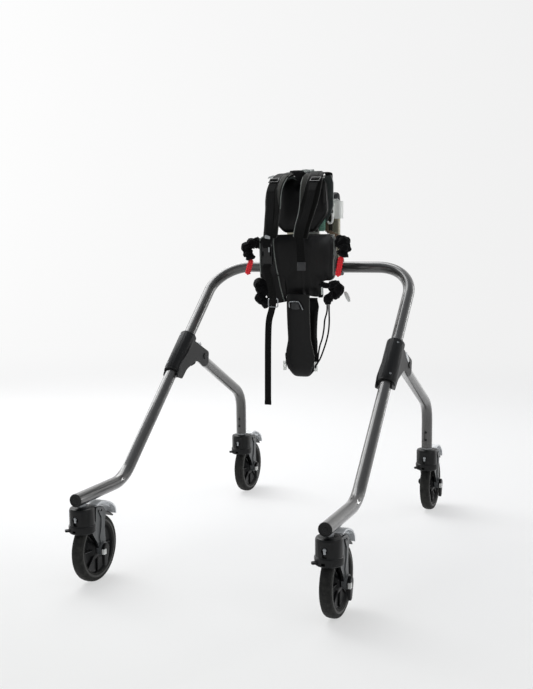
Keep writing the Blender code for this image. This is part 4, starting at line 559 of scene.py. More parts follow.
def makePaper():
    # seamless paper: flat floor, a quarter circle, then a straight wall
    paper = stage["paper"]
    floorShare, bendShare = 0.4, 0.7
    u = np.linspace(-1, 1, 41)[:, None] * paper["half"]
    v = np.linspace(0, 1, 80)[None, :]
    bend = np.clip((v - floorShare) / (bendShare - floorShare), 0, 1) * pi / 2
    flat = paper["front"] + (paper["bendAt"] - paper["front"]) * v / floorShare
    wall = paper["bendRadius"] + (v - bendShare) / (1 - bendShare) * paper["rise"]
    depth = np.where(v < floorShare, flat, paper["bendAt"] + paper["bendRadius"] * np.sin(bend))
    height = np.where(v < bendShare, paper["bendRadius"] * (1 - np.cos(bend)), wall)
    grid = np.stack(np.broadcast_arrays(u, depth, height - 0.0004), -1)   # just under the wheels
    points, faces, _ = patch(grid, wrap=False)
    mesh = bpy.data.meshes.new("paper_sweep")
    mesh.from_pydata(points.tolist(), [], faces)
    mesh.shade_smooth()
    mesh.materials.append(paperMaterial())
    obj = bpy.data.objects.new("paper_sweep", mesh)
    bpy.context.scene.collection.objects.link(obj)


def paperMaterial():
    # the paper's tones paint how the light falls over it; the floor keeps a share of the real light on it, and
    # so the shadows
    look = bpy.data.materials.new("matt_background_paper")
    look.use_nodes = True
    look.node_tree.nodes.clear()
    place = addNode(look, "TexCoord")["Object"]
    axes = addNode(look, "SeparateXYZ", links={"Vector": place})
    tones = []
    for colours, span in (("floorTones", "floorSpan"), ("wallTones", "wallSpan")):
        along = addNode(look, "MapRange", fromSpan(stage[span]), {"Value": axes["X"]})["Result"]
        stops = list(zip((0.0, 1.0), stage[colours]))
        tones.append(addNode(look, "ValToRGB", {"stops": stops}, {"Fac": along})["Color"])
    behind = addNode(look, "MapRange", fromSpan(stage["wallFrom"]), {"Value": axes["Y"]})["Result"]
    far = addNode(look, "Mix", {"data_type": "RGBA"}, {0: behind, 6: tones[0], 7: tones[1]})[2]
    inside = addNode(look, "MapRange", fromSpan(stage["nearSpan"]), {"Value": axes["Y"]})["Result"]
    tone = addNode(look, "Mix", {"data_type": "RGBA", 6: hexColour(stage["near"])}, {0: inside, 7: far})[2]
    apart = addNode(look, "VectorMath", {"operation": "LENGTH"}, {0: place})["Value"]
    away = addNode(look, "MapRange", {"interpolation_type": "SMOOTHERSTEP", **fromSpan(stage["shadowReach"])},
                   {"Value": apart})["Result"]
    own = addNode(look, "Math", {"operation": "MULTIPLY_ADD", 1: stage["shadowShare"],
                                 2: 1 - stage["shadowShare"]}, {0: away})["Value"]
    share = addNode(look, "Math", {"operation": "MULTIPLY"}, {0: seenDirectly(look), 1: own})["Value"]
    diffuse = addNode(look, "BsdfDiffuse", links={"Color": tone})[0]
    glow = addNode(look, "Emission", {"Strength": 1.0}, {"Color": tone})[0]
    mixed = addNode(look, "MixShader", links={0: share, 1: diffuse, 2: glow})[0]
    addNode(look, "OutputMaterial", links={"Surface": mixed})
    return look


def makeSky():
    look = bpy.context.scene.world = bpy.data.worlds.new("studio")
    look.use_nodes = True
    look.node_tree.nodes.clear()
    # the room is darker on the right and the open side, so round shapes show a dark band beside a bright edge
    way = addNode(look, "TexCoord")["Generated"]
    turned = addNode(look, "VectorMath", {"operation": "DOT_PRODUCT", 1: stage["darkSide"]},
                     {0: way})["Value"]
    low, high = (stage["skyStrength"] * share for share in stage["skyShares"])
    level = addNode(look, "MapRange", {"From Min": -0.7, "From Max": 0.7, "To Min": low, "To Max": high},
                    {"Value": turned})["Result"]
    sky = addNode(look, "Background", {"Color": hexColour(stage["skyTint"])}, {"Strength": level})[0]
    # round the horizon it is seen as pale as the paper, which it carries on beyond the floor's edge
    height = addNode(look, "Math", {"operation": "ABSOLUTE"},
                     {0: addNode(look, "SeparateXYZ", links={"Vector": way})["Z"]})["Value"]
    low, high = stage["paleBand"]
    near = addNode(look, "MapRange", {"From Min": low, "From Max": high, "To Min": 1.0, "To Max": 0.0},
                   {"Value": height})["Result"]
    shown = addNode(look, "Math", {"operation": "MULTIPLY"}, {0: seenDirectly(look), 1: near})["Value"]
    pale = addNode(look, "Background", {"Color": hexColour(stage["skyPale"]), "Strength": 1.0})[0]
    both = addNode(look, "MixShader", links={0: shown, 1: sky, 2: pale})[0]
    addNode(look, "OutputWorld", links={"Surface": both})


def makeLamp(name, at, towards, size, watts):
    # a rectangle of light that faces the place it is set towards
    lamp = bpy.data.lights.new(name, "AREA")
    lamp.shape = "RECTANGLE"
    lamp.size, lamp.size_y = size
    lamp.energy = watts
    obj = bpy.data.objects.new(name, lamp)
    bpy.context.scene.collection.objects.link(obj)
    obj.location = at
    obj.rotation_mode = "QUATERNION"
    obj.rotation_quaternion = (Vector(towards) - Vector(at)).to_track_quat("-Z", "Y")


makePaper()
makeSky()
for name, lamp in lamps.items():
    makeLamp(name, **lamp)
print("stage ready")


# CAD nodes whose shape is right: a merged copy with its long edges rounded stands for each

finishes = {
    "hoop_tube": (graphiteTube, 0), "rear_leg": (graphiteTube, 0.0005), "tube_end_cap": (castorBlack, 0.0004),
    "joint_housing": (housingBlack, 0.0009), "leg_pivot_pin": (housingBlack, 0.0003),
    "release_lever": (pedalGrey, 0.0006), "castor_stem": (zincSteel, 0.0003),
    "castor_fork": (castorBlack, 0.0007), "castor_axle": (castorBlack, 0.0005),
    "brake_pedal": (pedalGrey, 0.0005), "swivel_lock": (castorBlack, 0.0004),
    "crossbar_clamp": (housingBlack, 0.0008), "post": (postAlloy, 0.0003),
    "height_carriage": (blockWhite, 0.0007), "clamp_knob": (knobPale, 0.0006),
    "back_shell": (shellGrey, 0.0006), "ladder_buckle": (buckleBlack, 0.0003),
    "side_buckle": (buckleBlack, 0.0006), "saddle_clip": (blockWhite, 0.0005)}
replacedWhole = ("hoop_tube", "castor_wheel", "back_pad", "pelvis_pad", "shoulder_strap", "hanging_strap",
                 "saddle_sling", "elastic_sleeve", "saddle_cord")


def mergedCopy(name):
    # the node's loose triangles welded, flat neighbours joined again
    work = bmesh.new()
    work.from_mesh(nodes[name].data)
    bmesh.ops.remove_doubles(work, verts=work.verts, dist=0.00002)
    bmesh.ops.dissolve_limit(work, angle_limit=math.radians(1.0), verts=work.verts, edges=work.edges)
    mesh = bpy.data.meshes.new(name + "_merged")
    work.to_mesh(mesh)
    work.free()
    return mesh


def roundEdges(name, material, width):
    # a merged copy with a small bevel along its sharp edges stands for the node
    piece = setUp(name + "_finished", mergedCopy(name), material, nodes[name]["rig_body"], 32)
    if width:
        bevel = piece.modifiers.new("worn_edge", "BEVEL")
        bevel.width = width
        bevel.segments = 2
        bevel.limit_method = "ANGLE"
        bevel.angle_limit = math.radians(40)
        bevel.harden_normals = True
    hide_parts(name)
    return piece


# where each castor swivels, counted from the crossbar's line
castorCorners = {"front_right": (0.3415, -0.832), "front_left": (-0.3415, -0.832),
                 "rear_right": (0.3335, 0.16), "rear_left": (-0.3335, 0.16)}
armSkin = {"out": 0.0215, "behind": 0.01, "below": 0.178}   # from there on a fork is arm, not head


def paintArms(piece, corner):
    # the outer skin of each fork arm is a paler grey moulding than the black head
    mesh = piece.data
    mesh.materials.append(forkGrey)
    centres = np.zeros(len(mesh.polygons) * 3)
    mesh.polygons.foreach_get("center", centres)
    x, y, z = (centres.reshape(-1, 3) - (corner[0], corner[1] + shiftY, 0)).T
    grey = (np.abs(x) > armSkin["out"]) & (y > armSkin["behind"]) & (z < armSkin["below"])
    mesh.polygons.foreach_set("material_index", grey.astype(np.int32))


for nodeName in sorted(nodes):
    kind = next((k for k in finishes if nodeName.startswith(k)), None)
    if nodeName.startswith(replacedWhole) or kind is None:
        continue
    piece = roundEdges(nodeName, *finishes[kind])
    if kind == "castor_fork":
        paintArms(piece, castorCorners[nodeName[len("castor_fork_"):]])
print("rigid pieces finished")


# Bent tube hoop

hoop = {"radius": 0.0175, "sides": 40, "bends": [0, 0.12, 0.116, 0], "square": (0, 0.676, -0.737),
        "corners": [(0.3415, -0.8585, 0.238), (0.3415, -0.627, 0.238), (0.33, 0, 0.813), (0, 0, 0.813)]}
rightHalf = bentLine(hoop["corners"], hoop["bends"])
hoopLine = np.concatenate([rightHalf[:-1], mirrorX(rightHalf[:-1], -1)[::-1]])
hoopPiece = addPiece("bent_tube_hoop", [tube(hoopLine, hoop["radius"], hoop["sides"], hoop["square"])],
                     graphiteTube, "frame")
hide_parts("hoop_tube")

# Joint screws: a pan head with a hex socket on each end of the housing's outer face

screw = {"radius": 0.0034, "turn": math.radians(30), "alongStrut": (0.239, 0.3235), "seat": 0.0262}
strutFoot, strutTop = (np.array(corner, float) for corner in hoop["corners"][1:3])
strutWay = unit(strutFoot - strutTop)
strutUp = -unit(np.array(hoop["square"]))


def screwHead(at, out, radius):
    # turned profile of a domed head whose middle drops into a socket, set along out
    profile = [(0.0001, -0.0006), (radius * 0.46, -0.0006), (radius * 0.48, 0.0009), (radius * 0.8, 0.0011),
               (radius, 0.0002), (radius, -0.0012)]
    grid = turnedProfile(profile, 18, (0, 0, 0), "z")
    turn = np.array(Vector(out).to_track_quat("Z", "Y").to_matrix(), float)
    return patch(grid @ turn.T + np.asarray(at, float), caps=False)


for side, hand in ((1, "right"), (-1, "left")):
    out = unit(strutUp * math.cos(screw["turn"]) + np.array([1.0, 0, 0]) * math.sin(screw["turn"]))
    seats = [strutTop + strutWay * (reach / -strutWay[1]) + out * screw["seat"]
             for reach in screw["alongStrut"]]
    heads = [screwHead(mirrorX(at, side), mirrorX(out, side), screw["radius"]) for at in seats]
    addPiece(f"joint_screws_{hand}", heads, zincSteel, "frame", closed=False)

# Adjustment holes near each rear leg's foot: a dark dome fills each from inside, a spring button whose black
# also paints the shade inside the hole

springButtonShade = {"radius": 0.0041, "foot": (0.3335, 0.144), "heights": (0.247, 0.272)}
for side, hand in ((1, "right"), (-1, "left")):
    x, y = springButtonShade["foot"]
    radius = springButtonShade["radius"]
    profile = [(0.0001, 0.0006), (radius * 0.6, 0.0004), (radius, -0.0002), (radius, -0.0012)]
    discs = [frontDisc(profile, 16, (side * x, y, z)) for z in springButtonShade["heights"]]
    addPiece(f"spring_buttons_and_hole_shade_{hand}", discs, castorBlack, nodes[f"rear_leg_{hand}"]["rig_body"], closed=False)

# Castor wheels: rubber tyre and spoked rim, with the pin in the head and the white mark on the drag lever

wheel = {"trail": 0.0536, "radius": 0.09, "steps": 96,
         # half profiles as (radius, half width); the sidewall's band stands 0.6 mm proud of the tyre, and its
         # grey is partly its own and partly painted highlight
         "tyre": [(0.0662, 0.0085), (0.0668, 0.0132), (0.0688, 0.0143), (0.0712, 0.0143), (0.0722, 0.015),
                  (0.079, 0.0153), (0.0838, 0.0149), (0.0868, 0.0134), (0.0886, 0.0105), (0.0896, 0.0062),
                  (0.09, 0)],
         "rim": [(0.0058, 0.0162), (0.011, 0.0162), (0.0155, 0.0158), (0.0185, 0.0135), (0.033, 0.0052),
                 (0.061, 0.0045), (0.064, 0.0062), (0.0668, 0.0125)],
         "band": [(0.0722, 0.0148), (0.0727, 0.0156), (0.0745, 0.0158), (0.0768, 0.0158), (0.0778, 0.0152),
                  (0.0774, 0.013), (0.0726, 0.013)]}
spoke = {"count": 8, "from": 0.017, "to": 0.0655, "halfAcross": (0.0034, 0.002), "halfDeep": (0.0108, 0.0092)}


def mirroredProfile(half):
    # the far half repeats the near one, backwards and on the other side
    return half + [(r, -h) for r, h in reversed(half) if h != 0]


def makeWheel(corner, body, hand):
    # half profiles mirrored and turned round the axle for tyre, rim and sidewall bands, and straight spokes
    centre = (corner[0], corner[1] + wheel["trail"], wheel["radius"])
    ring = closedRing(turnedProfile(mirroredProfile(wheel["tyre"]), wheel["steps"], centre))
    tyre = addPiece(f"tyre_{hand}", [patch(ring, caps=False)], tyreBlack, body, crease=32)
    ring = closedRing(turnedProfile(mirroredProfile(wheel["rim"]), 64, centre))
    parts = [patch(ring, caps=False)]
    # a spoke is a bar from hub to rim that thins outwards
    reach = np.linspace(spoke["from"], spoke["to"], 9)[:, None]
    size = np.stack([np.linspace(*spoke["halfAcross"], 9), np.linspace(*spoke["halfDeep"], 9)], 1)[:, None]
    for angle in 2 * pi * np.arange(spoke["count"]) / spoke["count"]:
        way = np.array([0, math.cos(angle), math.sin(angle)])
        section = slabSection(1.0, 2.0, 4.0, 12)[None] * size
        parts.append(patch(swept(np.array(centre) + way * reach, section, np.cross(way, (1, 0, 0)))))
    addPiece(f"wheel_rim_{hand}", parts, castorBlack, body, crease=35)
    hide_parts(f"castor_wheel_{hand}")
    bands = []
    for way in (1, -1):
        profile = [(r, h * way) for r, h in wheel["band"][::way]]
        bands.append(patch(closedRing(turnedProfile(profile, wheel["steps"], centre)), caps=False))
    addPiece(f"tyre_sidewall_bands_and_highlight_{hand}", bands, sidewallBandHighlight, body, crease=32)


pin = {"radius": 0.0043, "at": (0, -0.0322, 0.1898), "tongue": (0.0062, 0.0022, 0.0082), "drop": 0.0105}
mark = {"size": (0.0076, 0.0115, 0.0135), "at": (0.0337, 0.0425, 0.085)}
for hand, corner in castorCorners.items():
    makeWheel(corner, f"castor_wheel_{hand}", hand)
    base = np.array([*corner, 0])
    headAt = base + pin["at"]
    profile = [(0.0001, 0.0016), (pin["radius"] * 0.5, 0.0014), (pin["radius"] * 0.85, 0.0007),
               (pin["radius"], 0), (pin["radius"], -0.003)]
    w, d, h = pin["tongue"]
    tongue = box(headAt + (-w / 2, -0.0006, -pin["drop"]), headAt + (w / 2, d, h - pin["drop"]), 0.0008)
    addPiece(f"head_pin_{hand}", [frontDisc(profile, 20, headAt), tongue], zincSteel, f"castor_fork_{hand}",
             closed=False)
    w, d, h = mark["size"]
    low = base + mark["at"] - (0, d / 2, h / 2)
    addPiece(f"lever_mark_{hand}", [box(low, low + mark["size"], 0.0004)], markWhite, f"castor_axle_{hand}")
print("wheels done")

# Foam cushions: a block a little too small is remeshed evenly, blown up as a balloon for a moment, and seamed

foam = {"cell": 0.0045, "pressure": 4.0, "frames": 20, "reach": 0.006, "drawIn": 0.0015, "seamWidth": 0.003,
        "foldWidth": 0.008}
backPad = {"node": "back_pad", "plump": 0.8, "seam": 0.0014, "seamPoints": 400, "folds": [],
           "corners": [(-0.066, 0.92), (0.03, 0.922), (0.08, 0.982), (0.074, 1.08), (0.046, 1.092),
                       (0.02, 1.082), (-0.02, 1.082), (-0.046, 1.092), (-0.08, 1.08), (-0.087, 0.945)],
           "radii": [0.012, 0.016, 0.04, 0.016, 0.01, 0.02, 0.02, 0.01, 0.016, 0.014],
           "front": -0.0811, "back": -0.0371, "crown": 0.008, "rimShare": 0.22,
           "wrap": lambda x: -0.023 * (np.abs(x) / 0.084) ** 2.2}
pelvisPad = {"node": "pelvis_pad", "plump": 0.75, "seam": 0.0016, "seamPoints": 500,
             # soft folds from above, each with its depth
             "folds": [([(-0.088, -0.125, 0.905), (-0.084, -0.12, 0.86), (-0.078, -0.117, 0.812),
                         (-0.064, -0.11, 0.74)], 0.0034),
                       ([(-0.008, -0.105, 0.905), (-0.006, -0.105, 0.85), (-0.004, -0.105, 0.79),
                         (-0.003, -0.105, 0.725)], 0.003),
                       ([(0.018, -0.105, 0.86), (0.017, -0.105, 0.8), (0.018, -0.105, 0.725)], 0.0022)],
             "corners": [(-0.061, 0.72), (0.061, 0.72), (0.065, 0.771), (0.1175, 0.777), (0.1215, 0.919),
                         (0.04, 0.922), (-0.04, 0.922), (-0.1285, 0.918), (-0.1245, 0.774), (-0.065, 0.766)],
             "radii": [0.012, 0.012, 0.016, 0.02, 0.024, 0.02, 0.02, 0.024, 0.02, 0.016],
             "front": -0.091, "back": -0.051, "crown": 0.004, "rimShare": 0.08,
             "wrap": lambda x: -0.058 * (np.abs(x) / 0.118) ** 2}


def padForm(pad):
    # rings drawn in to the middle: depth = rim + (front - rim) cos(t pi / 2) ^ 0.75,
    # bulged by crown (1 - scale ^ 2), bent by wrap(x)
    outline = closedOutline(pad["corners"], pad["radii"])
    middle = outline.mean(0)
    front, back = pad["front"], pad["back"]
    rim = front + (back - front) * pad["rimShare"]
    t = np.linspace(0, 1, 12)
    scale = np.concatenate([[0.001, 0.15], 0.3 + 0.7 * np.sin(t * pi / 2), [0.985, 0.93, 0.45, 0.001]])
    depth = np.concatenate([[front, front], rim + (front - rim) * np.cos(t * pi / 2) ** 0.75,
                            [rim + (back - rim) * 0.6, back, back, back]])
    bulge = np.where(depth < rim, pad["crown"] * (1 - scale ** 2), 0)
    grid = middle + (outline - middle)[None] * (scale * (1 - foam["drawIn"] / 0.08))[:, None, None]
    grid[..., 1] = (depth - bulge)[:, None] + pad["wrap"](grid[..., 0])
    return grid, outline, rim


def evaluated(obj):
    graph = bpy.context.evaluated_depsgraph_get()
    return bpy.data.meshes.new_from_object(obj.evaluated_get(graph))


def places(mesh):
    out = np.empty(len(mesh.vertices) * 3)
    mesh.vertices.foreach_get("co", out)
    return out.reshape(-1, 3)


def setPlaces(mesh, points):
    mesh.vertices.foreach_set("co", np.ascontiguousarray(points, dtype=float).ravel())
    mesh.update()


def inflated(obj, mesh):
    # a cloth balloon swells for a few frames; the swelling levels off: shift * reach / (reach + length)
    before = places(mesh)
    cover = obj.modifiers.new("cover", "CLOTH")
    cloth = cover.settings
    cloth.quality = 5
    cloth.mass = 0.3
    cloth.tension_stiffness = cloth.compression_stiffness = 20
    cloth.shear_stiffness = 8
    cloth.bending_stiffness = 0.6
    cloth.use_pressure = True
    cloth.uniform_pressure_force = foam["pressure"]
    cloth.effector_weights.gravity = 0
    cover.point_cache.frame_start, cover.point_cache.frame_end = 1, foam["frames"]
    for step in range(1, foam["frames"] + 1):
        bpy.context.scene.frame_set(step)
    shift = places(evaluated(obj)) - before
    obj.modifiers.clear()
    bpy.context.scene.frame_set(1)
    length = np.linalg.norm(shift, axis=1, keepdims=True)
    setPlaces(mesh, before + shift * foam["reach"] / (foam["reach"] + length))


def filled(name, grid):
    # the block's skin in even cells, blown up, then subdivided once
    points, faces, _ = patch(grid, caps=False)
    mesh = bpy.data.meshes.new(name)
    mesh.from_pydata(moved(points).tolist(), [], faces)
    work = bmesh.new()
    work.from_mesh(mesh)
    bmesh.ops.remove_doubles(work, verts=work.verts, dist=0.0002)
    bmesh.ops.recalc_face_normals(work, faces=work.faces)
    work.to_mesh(mesh)
    work.free()
    obj = bpy.data.objects.new(name, mesh)
    bpy.context.scene.collection.objects.link(obj)
    remesh = obj.modifiers.new("even_cells", "REMESH")
    remesh.mode = "VOXEL"
    remesh.voxel_size = foam["cell"]
    even = evaluated(obj)
    obj.modifiers.clear()
    obj.data = even
    inflated(obj, even)
    finer = obj.modifiers.new("smooth_cover", "SUBSURF")
    finer.levels = finer.render_levels = 1
    smooth = evaluated(obj)
    bpy.data.objects.remove(obj)
    return smooth


def nearestTo(points, line):
    # distance from each point to the nearest of a close-set line's points
    gaps = [np.linalg.norm(points[k:k + 4000, None] - line[None], axis=2).min(1)
            for k in range(0, len(points), 4000)]
    return np.concatenate(gaps)


def pressedIn(mesh, line, depth, width):
    # a seam draws the cover in: depth * exp(-(distance / width) ^ 2)
    points = places(mesh)
    normals = np.empty(len(points) * 3)
    mesh.vertex_normals.foreach_get("vector", normals)
    pull = depth * np.exp(-(nearestTo(points, line) / width) ** 2)
    setPlaces(mesh, points - normals.reshape(-1, 3) * pull[:, None])


def treeOf(mesh):
    # what lines are laid or dropped on
    work = bmesh.new()
    work.from_mesh(mesh)
    tree = BVHTree.FromBMesh(work)
    work.free()
    return tree


def laidOn(tree, line, lift):
    # each place of the line goes to the nearest place of the surface, raised by lift
    spots = [tree.find_nearest(Vector(point))[:2] for point in moved(line)]
    return np.array([spot + normal * lift for spot, normal in spots]) - (0, shiftY, 0)


def droppedOn(tree, line, lift):
    # each place of the line runs back from the open front until it meets the surface, less the lift
    way, reach = Vector((0, 1, 0)), 0.3
    spots = []
    for point in moved(line):
        spot, normal, _, _ = tree.ray_cast(Vector(point) - way * reach, way)
        spots.append(spot + normal * lift if spot else Vector(point))
    return np.array(spots) - (0, shiftY, 0)


def makePad(pad):
    # the cover with its rim seam and folds, the line of its rim, and a tree for what is laid on it
    grid, outline, rim = padForm(pad)
    name = pad["node"] + "_cover"
    mesh = filled(name, grid)
    edge = outline.copy()
    edge[:, 1] = rim + pad["wrap"](edge[:, 0])
    edge = closedRing(edge)
    pressedIn(mesh, moved(evenly(edge, pad["seamPoints"])), pad["seam"], foam["seamWidth"])
    tree = treeOf(mesh)
    for route, depth in pad["folds"]:
        pressedIn(mesh, moved(droppedOn(tree, curveThrough(route, 60), 0)), depth, foam["foldWidth"])
    cover = setUp(name, mesh, padVinyl, crease=80)
    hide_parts(pad["node"])
    return edge, treeOf(mesh)


welt = {"radius": 0.0017, "sides": 10, "lift": 0.0006, "across": (0, 1, 0)}
binding = {"radius": 0.002, "extra": 0.0003,
           "slant": [(-0.0885, -0.2, 0.913), (-0.0858, -0.19, 0.876), (-0.0792, -0.18, 0.8145),
                     (-0.0752, -0.175, 0.793)],
           # the welt is pale at the wings' ends, outside this x and above this z: painted highlight
           "wings": (0.108, 0.792)}

backEdge, backTree = makePad(backPad)
rim = laidOn(backTree, evenly(backEdge, 220), welt["lift"])
addPiece("back_pad_welt", [tube(rim, welt["radius"], welt["sides"], welt["across"])], pipingVinyl)

pelvisEdge, pelvisTree = makePad(pelvisPad)
rim = laidOn(pelvisTree, evenly(pelvisEdge, 300), welt["lift"])
addPiece("pelvis_pad_welts", [tube(rim, welt["radius"], welt["sides"], welt["across"])], pipingVinyl)
# the welt at the wings' ends and the slanting welt are pale: painted highlight along these edges
highlit = []
for side in (1, -1):
    run = np.flatnonzero((rim[:, 0] * side > binding["wings"][0]) & (rim[:, 2] > binding["wings"][1]))
    highlit.append(tube(rim[run[0]:run[-1]], welt["radius"] + binding["extra"], welt["sides"], welt["across"]))
highlit.append(tube(droppedOn(pelvisTree, curveThrough(binding["slant"], 60), 0.0014), binding["radius"]))
addPiece("pelvis_pad_welt_highlights", highlit, weltHighlight)

# the lining rises from the pad to the crest of the straps
lining = {"rise": [(0, -0.068, 1.066), (0, -0.085, 1.08), (0, -0.108, 1.094), (0, -0.132, 1.1035),
                   (0, -0.147, 1.1055)],
          "half": 0.02, "thick": 0.0075}
liningLine = curveThrough(lining["rise"], 30)
section = slabSection(lining["half"], lining["thick"], 3.0, 36)
addPiece("neck_lining", [patch(swept(liningLine, section))], neckVinyl)
crest = np.linspace(-1, 1, 12)[:, None] * (lining["half"], 0, 0) + liningLine[-1]
addPiece("neck_lining_binding", [tube(crest, 0.003, across=(0, 0, 1))], neckVinyl)

# a soft gusset closes the notch under the left wing: the photograph shows black cloth down to the saddle
gusset = {"route": [(-0.09, -0.118, 0.79), (-0.085, -0.119, 0.76), (-0.079, -0.119, 0.73),
                    (-0.074, -0.119, 0.704)],
          "halves": [0.033, 0.034, 0.031, 0.027], "thick": 0.011, "lean": (1, 0.45, 0),
          "binding": [(-0.0742, -0.2, 0.788), (-0.0705, -0.2, 0.77), (-0.0632, -0.2, 0.738),
                      (-0.054, -0.2, 0.708)]}
halves = np.interp(np.linspace(0, 1, 40), np.linspace(0, 1, 4), gusset["halves"])
sections = bandSections(halves, gusset["thick"], 2.6, 40)
grid = swept(curveThrough(gusset["route"], 40), sections, gusset["lean"])
gussetPiece = addPiece("left_gusset", [patch(grid)], padVinyl)
# a pale welt along its slant: painted highlight
slant = droppedOn(treeOf(gussetPiece.data), curveThrough(gusset["binding"], 40), 0.0012)
addPiece("left_gusset_welt_highlight", [tube(slant, binding["radius"])], weltHighlight)
print("cushions done")

# Shoulder straps: a padded band with welts on both edges, and the webbing that runs over it through the
# ladder buckle. The left strap hangs closer to the middle below the shoulder.

padded = {"route": [(0.036, -0.04, 1.1042), (0.0368, -0.07, 1.1045), (0.0435, -0.105, 1.0985),
                    (0.051, -0.137, 1.09), (0.055, -0.161, 1.0735), (0.0573, -0.179, 1.051),
                    (0.0588, -0.1935, 1.024), (0.058, -0.206, 0.996), (0.0556, -0.22, 0.968),
                    (0.0525, -0.2335, 0.943), (0.0512, -0.2425, 0.921), (0.0505, -0.247, 0.905)],
          "halves": [0.0165, 0.0172, 0.023, 0.029, 0.0305, 0.03,
                     0.028, 0.0245, 0.0225, 0.0217, 0.0217, 0.0215],
          "turns": [0, 0, 0.2, 0.34, 0.36, 0.36, 0.32, 0.24, 0.2, 0.2, 0.2, 0.2], "thick": 0.0115,
          "steps": 110, "endRound": 0.006, "closer": 0.006, "wider": 0.0025,
          # how many steps even out its widths; and its thickness swells and thins as it goes
          "evened": 4, "ripple": 0.05, "rippleAngle": 38}
# round trims along the edges, as steps of the band: dark to darkTo, then pale to highlightTo, which is painted
# highlight on the inner edge
trim = {"radius": 0.0015, "inset": 0.0004, "lift": 0.002, "darkTo": 40, "highlightTo": {"right": 108, "left": 78},
        "facing": slice(34, 76), "facingWidth": 0.0172, "facingThick": 0.0022, "facingInset": 0.0016,
        "seamRadius": 0.0011, "hemRadius": 0.0021, "stitches": 0.015}
ladder = {"centre": np.array([0.0667, -0.163, 1.08]), "ahead": unit(np.array([-0.004, -0.07, -0.047]))}
webbing = {"half": 0.0123, "thick": 0.0018,
           "back": [(0.064, -0.034, 1.076), (0.0641, -0.0336, 1.095), (0.0645, -0.0362, 1.1018),
                    (0.065, -0.047, 1.1045), (0.0655, -0.07, 1.105), (0.0662, -0.1, 1.103),
                    (0.0666, -0.13, 1.0955)],
           "front": [(0.0655, -0.1905, 1.05), (0.064, -0.204, 1.022), (0.0605, -0.2215, 0.985),
                     (0.056, -0.2385, 0.95), (0.0518, -0.249, 0.923), (0.05, -0.2545, 0.905)],
           "end": [(0.0515, -0.253, 0.885), (0.053, -0.2535, 0.86), (0.0545, -0.252, 0.822)],
           # the left one hangs closer to the middle, and is back in its line over this span at the buckle
           "closer": 0.004, "backFrom": 0.892, "backOver": 0.02,
           # its sewn run starts in front of this y, near this z, and is this many steps long
           "sewnBefore": -0.2, "sewnNear": 0.925, "sewnSteps": 10, "stitches": 0.0095}
buckle = {"centre": np.array([-0.0545, -0.2485, 0.854])}
threads = []


def overLadder():
    # the webbing's way through the ladder buckle: over its rear bar, down under the middle, over its front
    # bar, as (ahead, out) places that are the same from both ends
    across = unit(np.array([1.0, 0, 0]) - ladder["ahead"] * ladder["ahead"][0])
    out = np.cross(across, ladder["ahead"])
    half = [(0.016, 0.003), (0.0102, 0.0033), (0.0082, 0.003), (0.006, 0.0005), (0.004, -0.0025)]
    path = [(-a, b) for a, b in half] + [(0, -0.0033)] + half[::-1]
    return [tuple(ladder["centre"] + ladder["ahead"] * a + out * b) for a, b in path]


def throughSlot(end):
    # the webbing's way round the side buckle's bar at its upper end (1) or its lower (-1): along its front,
    # then back through the slot, as (y, z) places from its centre
    path = [(-0.0055, 0.044), (-0.0074, 0.0375), (-0.0076, 0.033), (-0.0076, 0.0285), (-0.0068, 0.0262),
            (-0.0048, 0.0249), (0.001, 0.0247), (0.0052, 0.0247)]
    return [tuple(buckle["centre"] + (0, y, z * end)) for y, z in path]


def stitchRow(line, across, offset, lift, length=0.0026, gap=0.0014, radius=0.00032):
    # short thread loops: each a little bar that dips into the cloth at both ends
    _, side, face = directions(line, across)
    path = line + side * offset + face * lift
    along = travelled(path)
    dip = (np.array([-1.2, 0.2, 0.5, 0.2, -1.2]) * radius)[:, None]
    patches = []
    for start in (np.arange(int(along[-1] / (length + gap))) + 0.25) * (length + gap):
        at = np.linspace(start, start + length, len(dip))
        run, up = (np.stack([np.interp(at, along, values[:, k]) for k in range(3)], 1)
                   for values in (path, face))
        patches.append(patch(swept(run + up * dip, ringSection(radius, 5), np.cross(up[2], (0.3, 0.4, 0.5)))))
    return patches


def belowShoulder(z):
    # 0 above z 1.045, 1 from z 1.000 down
    return np.clip((1.045 - z) / 0.045, 0, 1)


